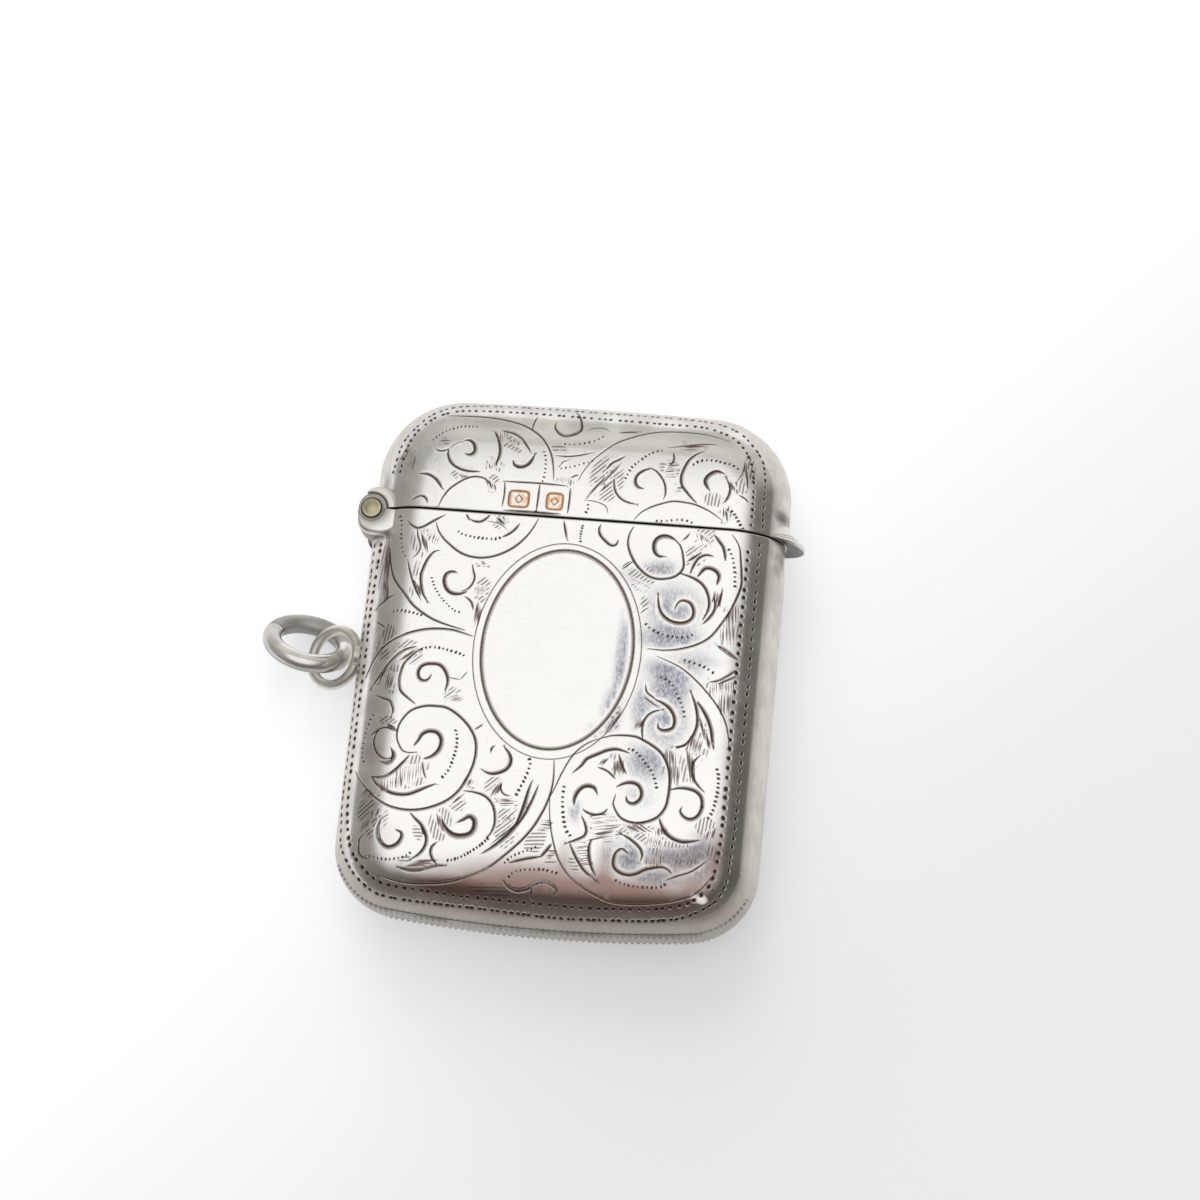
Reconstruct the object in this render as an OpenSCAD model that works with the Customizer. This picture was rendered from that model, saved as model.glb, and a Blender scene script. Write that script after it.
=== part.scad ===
// Vesta case (pocket match safe): a pressed silver box with a side-hinged lid,
// a leaf spring, a ribbed striker round the base and a ring on a fixed loop.
// Frame: X across the face, Y towards the lid, Z out of the front; the flat back lies on Z = 0.

/* [Case] */
// width across the sides, mm
case_width = 35; // [30:0.5:42]
// length from the base to the top of the lid, mm
case_length = 45.2; // [38:0.2:56]
// thickness from back to front, mm; the edge is a full round of half this
case_thick = 9.6; // [8:0.1:12]
// sheet thickness of the pressed halves, mm
wall = 0.5; // [0.4:0.05:0.8]
// corner radius of the lid end in the face view, mm
lid_corner = 7.5; // [6:0.1:10]
// corner radius of the base end in the face view, mm
base_corner = 6; // [5.2:0.1:9]
// radius of the gentle bow of the lid end, mm
lid_bow = 330; // [100:5:600]
// radius of the gentle bow of the base, mm
base_bow = 118; // [60:1:400]

/* [Mouth] */
// height of the body rim above the case centre, mm
seam_y = 11.6; // [9:0.1:13]
// open line between the body rim and the lid, mm
lid_gap = 0.2; // [0.1:0.05:0.4]
// thickness of the collar inside the mouth, mm
collar_wall = 0.45; // [0.35:0.05:0.7]
// depth of the collar down inside the body, mm
collar_depth = 3.2; // [2:0.1:6]
// height of the collar standing up into the lid, mm
collar_rise = 1.7; // [1:0.1:2.4]
// free play between the collar and the lid, mm
collar_play = 0.12; // [0.08:0.01:0.25]

/* [Hinge] */
// pin centre inside the left side line, mm
pin_inset = 0.2; // [-0.6:0.05:0.4]
// radius of the hinge pin, mm
pin_r = 0.8; // [0.6:0.05:1]
// radius of the hinge knuckles, mm
knuckle_r = 1.3; // [1.2:0.05:1.6]
// radial play of the lid knuckle on the pin, mm
pin_play = 0.05; // [0.02:0.01:0.09]
// free play round and between the knuckles, mm
knuckle_play = 0.12; // [0.1:0.01:0.2]
// length of the middle knuckle along the pin, mm
knuckle_mid = 2.8; // [2:0.1:4]
// length of each outer knuckle along the pin, mm
knuckle_end = 2.7; // [2:0.1:2.8]
// radius of the hood that shrouds the knuckles, mm
hood_r = 2.25; // [2:0.05:2.6]
// angle where the hood ends over the pin, degrees
hood_turn = 118; // [100:1:120]
// drop of the hinge lugs below the pin, mm
lug_drop = 2.25; // [1.6:0.05:3.5]

/* [Spring] */
// thickness of the leaf spring, mm
spring_t = 0.3; // [0.2:0.05:0.4]
// width of the leaf spring, mm
spring_w = 2.4; // [1.6:0.1:2.6]
// length of the leaf spring, mm
spring_len = 12.5; // [9:0.5:16]
// shank radius of the spring rivet, mm
rivet_r = 0.4; // [0.3:0.05:0.5]

/* [Thumbpiece] */
// how far the lip stands out past the side, mm
thumb_out = 1.4; // [0.8:0.1:2]
// height of the lip root on the lid side, mm
thumb_rise = 2.1; // [1.4:0.1:2.6]
// how far the lip tip hangs past the body rim, mm
thumb_droop = 0.45; // [0:0.05:0.8]
// depth of the thumbnail scoop in the body, mm
scoop = 0.25; // [0.1:0.05:0.35]

/* [Striker] */
// width of the striker band, mm
striker_w = 3.4; // [2.4:0.1:4.4]
// thickness of the striker band, mm
striker_t = 1.0; // [0.9:0.05:1.4]
// height of the striker ribs, mm
rib = 0.18; // [0.1:0.02:0.3]
// angle each end of the band turns round the base corner, degrees
striker_turn = 60; // [0:5:70]

/* [Ring] */
// wire radius of the fixed loop, mm
loop_wire = 0.45; // [0.35:0.025:0.6]
// centre-line radius of the fixed loop, mm
loop_r = 2.4; // [2.3:0.05:3]
// droop of the fixed loop below the level of the face, degrees
loop_droop = 28; // [20:1:35]
// place of the loop along the side, mm
loop_y = -0.25; // [-8:0.05:6]
// wire radius of the suspension ring, mm
ring_wire = 0.8; // [0.6:0.05:0.9]
// centre-line radius of the suspension ring, mm
ring_r = 3.15; // [3:0.05:4]
// lean of the suspension ring about the line across the case, degrees
ring_lean = 46; // [40:1:50]
// dip of the suspension ring towards the case, degrees
ring_tip = 19; // [15:1:24]

/* [Hidden] */
$fn = 64;
corner_bars = 4;
half_w = case_width / 2;
half_l = case_length / 2;
half_t = case_thick / 2;
flat_trim = 0.02;
edge_r = half_t + flat_trim;
side_c = half_w - edge_r;
lid_y = seam_y + lid_gap;
pin_x = -half_w + pin_inset;
pin_y = seam_y;
mid_z = knuckle_mid / 2;
end_z = mid_z + knuckle_end;
bore_in = edge_r - wall;
spring_x = -half_w + wall + 0.55;
loop_out = half_w + 0.3;
loop_dip = 0.2;
silver = [0.8, 0.79, 0.76];
brass = [0.8, 0.72, 0.5];
steel = [0.55, 0.56, 0.58];

// long bar with one rounded edge of radius e, its outside at a distance d from the centre in the direction phi
module edge_bar(phi, d, e) {
    rotate(phi) translate([d - edge_r, 0, 0]) rotate([90, 0, 0]) linear_extrude(140, center = true) union() {
        circle(e);
        translate([-80, -e]) square([80, 2 * e]);
    }
}

// solid half, front side up, with a bowed end at +Y and a flat mouth at y0: the space inside the two sides,
// the bow and a fan of bars that roll round each corner
module solid_half(r, bow, y0, e) {
    bow_y = half_l - bow;
    corner_y = bow_y + sqrt(pow(bow - r, 2) - pow(half_w - r, 2));
    turn = asin((half_w - r) / (bow - r));
    intersection() {
        translate([-60, y0, 0]) cube([120, 120, e - flat_trim]);
        edge_bar(0, half_w, e);
        edge_bar(180, half_w, e);
        intersection_for (k = [1 : corner_bars]) {
            phi = (90 - turn) * k / (corner_bars + 1);
            intersection() {
                edge_bar(phi, (half_w - r) * cos(phi) + corner_y * sin(phi) + r, e);
                edge_bar(180 - phi, (half_w - r) * cos(phi) + corner_y * sin(phi) + r, e);
            }
        }
        translate([0, bow_y, 0]) rotate_extrude($fn = 720) union() {
            translate([bow - edge_r, 0]) circle(e, $fn = 64);
            translate([bow - edge_r - 50, -e]) square([50, 2 * e]);
        }
    }
}

// one pressed half: the solid less its inside
module pressed_half(r, bow, y0) {
    difference() {
        solid_half(r, bow, y0, edge_r);
        solid_half(r, bow, y0 - 1, bore_in);
    }
}

// straight prism with the section of the pressed halves, r is its end radius, from y0 to y1
module slot_prism(r, y0, y1) {
    translate([0, y1, 0]) rotate([90, 0, 0]) linear_extrude(y1 - y0) intersection() {
        union() {
            translate([-side_c, -r]) square([2 * side_c, 2 * r]);
            for (side = [-1, 1]) translate([side * side_c, 0]) circle(r);
        }
        square([2 * case_width, 2 * (r - flat_trim)], center = true);
    }
}

// upright cylinder on the pin line between two heights
module on_pin(r, z0, z1) {
    translate([pin_x, pin_y, z0]) cylinder(r = r, h = z1 - z0);
}

// room in a body half for the knuckles: tight round the lugs, free round the lid knuckle
module body_hinge_room() {
    on_pin(knuckle_r + knuckle_play, -mid_z, mid_z);
    on_pin(knuckle_r, mid_z, end_z);
    on_pin(knuckle_r, -end_z, -mid_z);
}

// room in a lid half for the knuckles: free round the lugs, tight round its own knuckle
module lid_hinge_room() {
    on_pin(knuckle_r, -mid_z, mid_z);
    on_pin(knuckle_r + knuckle_play, mid_z, edge_r);
    on_pin(knuckle_r + knuckle_play, -edge_r, -mid_z);
}

// outline points of the base, right to left, at an inset d
base_y = -half_l + base_bow;
base_turn = asin((half_w - base_corner) / (base_bow - base_corner));
base_cy = base_y - (base_bow - base_corner) * cos(base_turn);
base_cx = half_w - base_corner;
corner_steps = 28;
bow_steps = 96;
function base_point(d, i) =
    i < corner_steps ?
        let (t = -90 + base_turn + striker_turn * (1 - i / corner_steps))
        [base_cx + (base_corner - d) * cos(t), base_cy + (base_corner - d) * sin(t)]
    : i <= corner_steps + bow_steps ?
        let (t = base_turn * (1 - 2 * (i - corner_steps) / bow_steps))
        [(base_bow - d) * sin(t), base_y - (base_bow - d) * cos(t)]
    :   let (t = 270 - base_turn - striker_turn * (i - corner_steps - bow_steps) / corner_steps)
        [-base_cx + (base_corner - d) * cos(t), base_cy + (base_corner - d) * sin(t)];
base_n = 2 * corner_steps + bow_steps;

// bed for the striker through both halves
module striker_bed() {
    linear_extrude(striker_w, center = true)
        polygon(concat([for (i = [0 : 4 : base_n]) base_point(-1, i)],
            [for (i = [base_n : -4 : 0]) base_point(striker_t, i)]));
}

// scoop below the thumbpiece
module thumb_scoop() {
    translate([half_w + 6 - scoop, seam_y - 0.6, 0]) sphere(6);
}

module body_half() {
    difference() {
        mirror([0, 1, 0]) pressed_half(base_corner, base_bow, -seam_y);
        striker_bed();
        body_hinge_room();
        thumb_scoop();
    }
}

module lid_half() {
    difference() {
        pressed_half(lid_corner, lid_bow, lid_y);
        lid_hinge_room();
    }
}

// hinge lug: a knuckle let into the side and a foot lying on the rolled edge
module hinge_lug() {
    difference() {
        union() {
            on_pin(knuckle_r, mid_z, end_z);
            difference() {
                translate([pin_x, pin_y, mid_z]) linear_extrude(knuckle_end) difference() {
                    translate([0.2 - knuckle_r, -lug_drop]) square([3.6, lug_drop]);
                    difference() {
                        translate([0.2 - knuckle_r, -lug_drop]) square(0.8);
                        translate([1 - knuckle_r, 0.8 - lug_drop]) circle(0.8);
                    }
                }
                slot_prism(edge_r, pin_y - lug_drop - 1, pin_y + 1);
            }
        }
        on_pin(pin_r, -edge_r, edge_r);
    }
}

module body_front_shell() { color(silver) translate([0, 0, half_t]) body_half(); }

module body_back_shell() { color(silver) translate([0, 0, half_t]) mirror([0, 0, 1]) body_half(); }

module mouth_collar() {
    color(silver) translate([0, 0, half_t]) difference() {
        union() {
            slot_prism(bore_in, seam_y - collar_depth, seam_y);
            slot_prism(bore_in - collar_play, seam_y, seam_y + collar_rise);
        }
        slot_prism(bore_in - collar_wall, seam_y - collar_depth - 1, seam_y + collar_rise + 1);
        translate([-half_w - 1, seam_y - collar_depth - 1, -end_z - 0.2])
            cube([1 + pin_inset + knuckle_r + knuckle_play + 0.3, collar_depth + collar_rise + 2,
                2 * end_z + 0.4]);
    }
}

module striker_band() {
    color(steel) translate([0, 0, half_t]) linear_extrude(striker_w, center = true)
        polygon(concat([for (i = [0 : base_n]) base_point(i % 2 == 0 ? 0 : rib, i)],
            [for (i = [base_n : -4 : 0]) base_point(striker_t, i)]));
}

module hinge_lug_front() { color(silver) translate([0, 0, half_t]) hinge_lug(); }

module hinge_lug_back() { color(silver) translate([0, 0, half_t]) mirror([0, 0, 1]) hinge_lug(); }

module hinge_pin() {
    color(brass) translate([0, 0, half_t]) intersection() {
        on_pin(pin_r, -end_z - 0.15, end_z + 0.15);
        translate([pin_x, pin_y, 0]) sphere(sqrt(pow(end_z + 0.15, 2) + pow(0.2, 2)));
    }
}

module leaf_spring() {
    color(steel) translate([0, 0, half_t]) difference() {
        translate([spring_x, pin_y - knuckle_r - 0.1 - spring_len + 0.35, -spring_w / 2])
            cube([spring_t, spring_len, spring_w]);
        on_pin(knuckle_r + knuckle_play, -mid_z, mid_z);
        rivet_shank(0);
    }
}

// rivet line at the foot of the spring
module rivet_shank(grow) {
    translate([-half_w, pin_y - spring_len + 1, 0]) rotate([0, 90, 0]) cylinder(r = rivet_r + grow, h = 3);
}

module spring_pad() {
    color(silver) translate([0, 0, half_t]) difference() {
        intersection() {
            translate([-half_w, pin_y - spring_len - 0.4, -spring_w / 2])
                cube([spring_x + half_w, 2.8, spring_w]);
            slot_prism(bore_in, pin_y - spring_len - 1, pin_y);
        }
        rivet_shank(0);
    }
}

module spring_rivet() {
    color(brass) translate([0, pin_y - spring_len + 1, half_t]) rotate([0, 90, 0]) union() {
        translate([0, 0, -half_w + wall + 0.05]) cylinder(r = rivet_r, h = 0.5 + spring_t);
        translate([0, 0, spring_x + spring_t]) cylinder(r1 = rivet_r + 0.35, r2 = rivet_r + 0.15, h = 0.25);
    }
}

// fixed loop: centre, drooping from the side
module loop_place() {
    translate([-loop_out, loop_y, half_t - loop_dip]) rotate([0, -loop_droop, 0]) translate([-loop_r, 0, 0])
        children();
}

module loop_tube(grow) {
    loop_place() rotate_extrude() translate([loop_r, 0]) circle(loop_wire + grow);
}

// solder pad under the fixed loop
module foot_pad() {
    difference() {
        translate([-loop_out - 0.1, loop_y, half_t - 0.1]) rotate([0, 90, 0]) cylinder(r = 0.9, h = 1);
        translate([0, 0, half_t]) slot_prism(edge_r, loop_y - 2, loop_y + 2);
    }
}

module loop_foot() { color(silver) foot_pad(); }

module ring_loop() {
    color(silver) difference() {
        loop_tube(0);
        foot_pad();
        translate([0, 0, half_t]) slot_prism(edge_r, loop_y - 4, loop_y + 4);
    }
}

module lid_front_shell() { color(silver) translate([0, 0, half_t]) lid_half(); }

module lid_back_shell() { color(silver) translate([0, 0, half_t]) mirror([0, 0, 1]) lid_half(); }

// hood outline over the knuckles, from the mouth line round to the hood end
module hood_sector(r0) {
    intersection() {
        difference() { circle(hood_r); if (r0 > 0) circle(r0); }
        polygon([[0, lid_gap], [4, lid_gap], [4, 4], [4 / tan(hood_turn), 4]]);
    }
}

module lid_knuckle() {
    color(silver) translate([0, 0, half_t]) difference() {
        union() {
            on_pin(knuckle_r, -mid_z + 0.05, mid_z - 0.05);
            difference() {
                translate([pin_x, pin_y, 0]) union() {
                    translate([0, 0, -end_z]) linear_extrude(2 * end_z) hood_sector(knuckle_r + knuckle_play);
                    translate([0, 0, 0.05 - mid_z]) linear_extrude(2 * mid_z - 0.1) hood_sector(0);
                }
                slot_prism(edge_r, pin_y - 4, pin_y + 4);
            }
        }
        on_pin(pin_r + pin_play, -edge_r, edge_r);
    }
}

module thumbpiece() {
    lip_r = edge_r - 0.9;
    color(silver) translate([0, 0, half_t]) difference() {
        intersection() {
            linear_extrude(2 * edge_r, center = true) polygon([
                [half_w - 3, lid_y + thumb_rise], [half_w, lid_y + thumb_rise],
                [half_w + 0.12 * thumb_out, lid_y + 0.62 * thumb_rise],
                [half_w + 0.36 * thumb_out, lid_y + 0.3 * thumb_rise],
                [half_w + 0.7 * thumb_out, lid_y - 0.3 * thumb_droop],
                [half_w + thumb_out, seam_y - 0.55 * thumb_droop],
                [half_w + thumb_out - 0.08, seam_y - thumb_droop],
                [half_w + 0.55 * thumb_out, seam_y - 0.1], [half_w + 0.1, lid_y], [half_w - 3, lid_y]]);
            translate([half_w + thumb_out - lip_r, seam_y, 0]) rotate([90, 0, 0])
                cylinder(r = lip_r, h = 12, center = true);
        }
        slot_prism(edge_r, lid_y - 4, lid_y + thumb_rise + 1);
    }
}

// free ring, leaning so that its wire threads the loop and its far side meets the table
module suspension_ring() {
    color(silver) translate([-loop_out - loop_r * cos(loop_droop) - 0.77 * ring_r, loop_y + 1.1,
            ring_wire + 0.04 + ring_r * sqrt(1 - pow(cos(ring_lean) * cos(ring_tip), 2))])
        rotate([-ring_lean, ring_tip, 0]) rotate_extrude() translate([ring_r, 0]) circle(ring_wire);
}

body_front_shell();
body_back_shell();
mouth_collar();
striker_band();
hinge_lug_front();
hinge_lug_back();
hinge_pin();
leaf_spring();
spring_pad();
spring_rivet();
loop_foot();
ring_loop();
lid_front_shell();
lid_back_shell();
lid_knuckle();
thumbpiece();
suspension_ring();
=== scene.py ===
import math

import bpy
import numpy as np
from mathutils import Matrix, Vector
from mathutils.geometry import delaunay_2d_cdt


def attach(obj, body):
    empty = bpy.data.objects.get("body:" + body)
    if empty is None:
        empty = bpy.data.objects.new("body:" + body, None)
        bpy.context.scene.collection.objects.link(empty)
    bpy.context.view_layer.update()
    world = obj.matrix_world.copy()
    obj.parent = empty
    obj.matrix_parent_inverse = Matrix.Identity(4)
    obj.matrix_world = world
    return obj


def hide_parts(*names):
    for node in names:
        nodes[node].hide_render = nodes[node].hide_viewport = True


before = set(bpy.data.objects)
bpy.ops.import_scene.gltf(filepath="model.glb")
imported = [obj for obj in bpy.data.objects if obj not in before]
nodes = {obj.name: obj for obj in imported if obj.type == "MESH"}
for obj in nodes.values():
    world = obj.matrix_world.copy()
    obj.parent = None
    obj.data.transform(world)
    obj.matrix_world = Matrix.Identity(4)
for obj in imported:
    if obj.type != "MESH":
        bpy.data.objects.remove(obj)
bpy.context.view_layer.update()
mm = 0.001
print("frame loaded:", len(nodes), "CAD nodes")


# Cushion form of the two pressed halves, millimetres. way is the side of the bowed end on Y, and lift how far
# the plates stand proud. The face's lean starts at From and is full after Over.
caseForm = {"halfWide": 17.5, "halfLong": 22.6, "halfThick": 4.8, "lift": 0.06,
            "sideFrom": 6.0, "sideOver": 8.0, "endFrom": 13.0, "endOver": 6.0}
bodyForm = dict(caseForm, bow=118.0, corner=5.7, mouth=11.6, way=-1, endLean=0.0, sideLean=0.02)
lidForm = dict(caseForm, bow=330.0, corner=7.1, mouth=11.8, way=1, endLean=0.12, sideLean=0.1)


# Engraver's strokes on the lid: greatest width, then x, y of the points the curve runs through.
lidDesign = {
    "strokes": [
        (.17, -11.8, 20.1, -9, 20.2, -7, 20.05, -5.2, 19.6, -3.8, 18.8, -3, 17.95, -2.5, 17, -2.25, 15.9,
         -2.15, 15),
        (.17, -12.35, 16.95, -12.1, 16.8, -11.7, 16.8, -11.25, 17),
        (.24, -11.25, 16.95, -11.2, 16.4, -10.8, 15.75, -10.1, 15.35, -9.3, 15.2, -8.4, 15.2),
        (.08, -11.2, 17, -10.9, 17.35, -10.4, 17.65, -9.9, 17.8),
        (.3, -9.95, 17.85, -9.6, 17.9, -9.2, 17.7, -8.98, 17.2, -9.1, 16.75, -9.45, 16.58, -9.8, 16.65),
        (.26, -7.55, 18.8, -7.2, 18.3, -6.95, 17.7, -6.85, 17, -6.95, 16.4, -7.1, 15.9),
        (.22, -6.9, 18.95, -5.9, 18.75, -5.2, 18.35, -4.7, 17.8, -4.3, 17.2),
        (.32, -5.7, 16.35, -5.5, 16, -5, 15.88, -4.5, 16.1, -4.2, 16.5, -3.98, 16.95),
        (.24, -13.55, 14.65, -13, 14.7, -12.5, 14.6, -11.9, 14.2, -11.4, 13.5),
        (.2, -13.9, 12.3, -13.5, 12.6, -13.1, 12.75, -12.7, 12.6, -12.5, 12.2),
        (.17, -11.55, 11.95, -11.3, 12.7, -10.8, 13.5, -10, 14.2, -9.2, 14.65, -8.4, 14.75, -7.8, 14.55,
         -7.3, 14),
        (.16, -6.4, 14.5, -5, 14.53, -3, 14.55, -1, 14.48),
        (.13, -6.2, 14.45, -6.12, 13.5, -6.2, 12.3),
        (.15, -3.25, 14.45, -3.25, 13.5, -3.3, 12.15),
        (.15, -.65, 14.3, -.62, 13.2, -.67, 12.1),
        (.18, -6, 12, -4, 12.02, -1.3, 12),
        (.16, -4.15, 20.5, -4.3, 20, -4.4, 19.3),
        (.27, -2.5, 20, -2.5, 19.6, -2.2, 19.15, -1.7, 18.85, -1.2, 18.9, -.6, 19.2, -.33, 19.5, -.35, 20,
         -.6, 20.8, -.9, 21.3),
        (.09, .25, 19.5, .7, 19.75, 1.3, 19.85, 1.8, 19.75, 2.05, 19.5),
        (.14, -2.2, 17.05, -1.3, 17.05, -.5, 17.15, .3, 17.35, .95, 17.55),
        (.1, -1.75, 16.2, -1.5, 16.55, -1.1, 16.7),
        (.14, -.75, 15.2, -.4, 15.4, -.1, 15.5),
        (.13, -.05, 15.1, .3, 15.9, .9, 16.8, 1.8, 17.7, 2.8, 18.5, 3.9, 19.05, 5, 19.5, 6.3, 19.85, 8, 20,
         10, 19.95, 11.2, 19.7, 12.3, 19.4),
        (.16, 2.9, 19.5, 3.6, 19.6, 4.6, 19.72),
        (.2, 2.1, 16.1, 2.6, 16.75, 3.1, 17.05, 3.6, 17.4),
        (.18, 2.95, 15.4, 2.97, 14.9, 3.15, 14.3, 3.6, 13.75, 4.2, 13.45, 5, 13.3),
        (.26, 5.4, 14.7, 5.05, 14.75, 4.75, 15, 4.65, 15.5, 4.9, 16, 5.4, 16.35, 5.9, 16.5),
        (.17, 5.7, 16.48, 6.1, 16.45, 6.5, 16.2, 7, 15.6, 7.25, 15, 7.3, 14.3, 7.2, 14),
        (.18, 7.65, 18, 7.75, 17.6, 7.7, 17.2, 7.45, 16.9),
        (.24, 10.2, 18.3, 9.6, 18, 9, 17.4, 8.65, 16.6, 8.5, 15.9, 8.65, 15.2, 9.1, 14.65, 9.6, 14.1, 9.95,
         13.8),
        (.12, 7.2, 18.4, 8.9, 18.75, 10, 18.95, 11.2, 19),
        (.34, 11.95, 16.5, 11.4, 16.6, 10.9, 16.35, 10.55, 15.9, 10.6, 15.5, 10.9, 15),
        (.22, 12.3, 16, 12.6, 15.5, 12.65, 14.9, 12.45, 14.3, 12.2, 13.95),
        (.15, 4.9, 11.95, 5.4, 12.6, 6.1, 13.1, 7, 13.5, 8, 13.8, 9.2, 13.75, 10, 13.6, 11, 13.2, 11.6,
         12.85, 12.1, 12.5),
        (.14, 13.4, 14.75, 13.9, 14.5, 14.3, 14.2),
        (.1, 13.1, 15.9, 13.5, 16.6, 13.6, 17.5),
        (.08, .7, 13.35, 1.5, 13.3, 2.2, 13.1, 2.55, 12.8, 2.7, 12.3),
    ],
    # rows of small punched beads: how many, radius, then the points the row runs through
    "beads": [
        (9, .09, -1.5, 18.1, -.7, 18.15, .2, 18.3, 1, 18.6, 1.6, 19),
        (8, .07, -1.6, 15.95, -.8, 16.15, .2, 16.5, .95, 16.8),
        (8, .08, -3.2, 17.3, -3, 16.8, -2.93, 16, -2.95, 15.2, -3.05, 14.75),
        (13, .08, -12.65, 17.7, -11.9, 18.4, -11, 18.85, -10.2, 19.1, -9.1, 19.15),
        (12, .09, 3.85, 15.5, 4.3, 16.5, 4.9, 17.1, 5.6, 17.7, 6.2, 18, 6.65, 18.1),
        (11, .1, 9.4, 17.1, 9.8, 17.4, 10.4, 17.55, 11.2, 17.55, 12, 17.4, 12.6, 17.3, 13.1, 17),
        (8, .09, 6.8, 11.98, 7.6, 12.05, 8.5, 12.2, 9.2, 12.2, 9.7, 12.05),
        (7, .11, 12.6, 13.4, 13, 13.2, 13.4, 12.7, 13.75, 12.15, 13.95, 11.9),
        (3, .1, .95, 12.95, 1, 12.65, .85, 12.3),
    ],
    # shading cuts: how many lines, from a to b, each running by v
    "shading": [
        (6, -7.9, 15.75, -7.1, 16.2, .1, -.45), (6, -7.75, 14.55, -7, 14.2, .25, -.7),
        (5, -10.1, 14.9, -9.6, 14.8, .25, -.3), (11, 3.4, 16.8, 1.5, 14.8, -.75, -1.25),
        (7, 2.9, 15.3, 2.1, 14.6, -.35, -.6), (7, 7.1, 16.2, 7.3, 17, .9, .15),
        (4, 8.1, 14.6, 8.25, 15, .4, 0), (6, 12.2, 13.5, 12.6, 13.1, .05, -.8),
        (7, 12.6, 15.8, 13.2, 15.2, .05, -.5), (6, 8.2, 18.2, 8.6, 18.7, 1.7, .15),
        (5, -7.3, 18.75, -6.5, 18.8, .2, -.9), (6, -1.9, 15.1, -.9, 15.1, .02, -.3),
        (9, 13.65, 17.9, 14, 16.2, .05, -1.2), (5, -5.8, 18.3, -5.3, 18.1, -.1, -.6),
        (7, -14.9, 17.1, -14.1, 16.8, -.4, -1.2),
    ],
    # border rows of punches: pitch at six places along the row, then short and long half axis and the points
    "outerRowPitch": (.58,) * 6,
    "innerRowPitch": (.58,) * 6,
    "outerRow": (.12, .2, 15.5, 12.1, 15.45, 13.9, 15.4, 16.1, 15.25, 17.2, 15, 18.1, 14.5,
                 18.9, 13.9, 19.6, 13.2, 20.3, 12, 20.95, 10.6, 21.35, 8.3, 21.6, 3.5, 21.62,
                 0, 21.65, -5.5, 21.7, -8.5, 21.6, -10.6, 21.35, -12, 20.95, -13.2, 20.3, -14,
                 19.5, -14.6, 18.7, -15.2, 17.8, -15.55, 16.7, -15.75, 15.5, -16.1, 14.2),
    "innerRow": (.16, .19, 14.6, 12.2, 14.6, 13.9, 14.5, 16, 14.2, 17.5, 13.5, 18.8, 12.5,
                 19.8, 11.4, 20.25, 9.7, 20.7, 6, 20.75, 0, 20.85, -5, 20.95, -9, 20.85,
                 -10.5, 20.75, -11.7, 20.45, -12.7, 20, -13.5, 19.3, -14.2, 18.5, -14.75, 17.3,
                 -15.05, 15.8, -15.25, 14.5),
    # soft patches: blue-grey bloom, partly tarnish and partly painted reflection of darker surroundings;
    # painted warm reflection; grime with painted shade. x, y, half width, half height, strength
    "hazeAndReflection": [(-13.4, 17.4, 2.6, 3, .42), (-8, 19.7, 4, .8, .36)],
    "warmReflection": [],
    # grime with painted shade beside the thumb lip and the hinge
    "grimeAndShade": [(17.2, 13.9, .8, .5, 1), (16.9, 13.5, .4, .35, .8), (-16.3, 13.6, .5, 1, .6)],
    # ground hatching between the scrolls, patches in three directions
    "upright": [(12.4, 12.9, .5, .7, 1), (13.4, 15.2, .6, .5, 1), (13.9, 16.8, .5, 1.2, 1),
                (-1.3, 14.9, .9, .3, 1), (-7.2, 15.9, .6, .5, 1), (-14.2, 16, .4, .9, .6),
                (11.3, 14.2, .7, .5, .8)],
    "slanting": [(2.3, 15.3, 1.2, 1.7, 1), (-7.2, 14.2, .5, .7, 1), (-10.1, 14.8, .6, .35, 1),
                 (-6.6, 18.1, .6, .7, 1), (-5.4, 17.8, .5, .6, 1)],
    "level": [(7.6, 16.6, .9, .6, 1), (8.3, 14.8, .5, .35, 1), (9.2, 18.6, 1.2, .4, 1),
              (-2, 17.6, .8, .3, .7), (-11.6, 17.6, .4, .3, .7)],
    # shallow dents that stand level and catch the light, oval lines of a cartouche
    "dents": [],
    "ovals": [],
    # framed stamps with a plain lozenge: centre and half sides
    "stamps": [(-4.88, 13.05, .98, .82), (-1.86, 13.05, .78, .82)],
}

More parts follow.
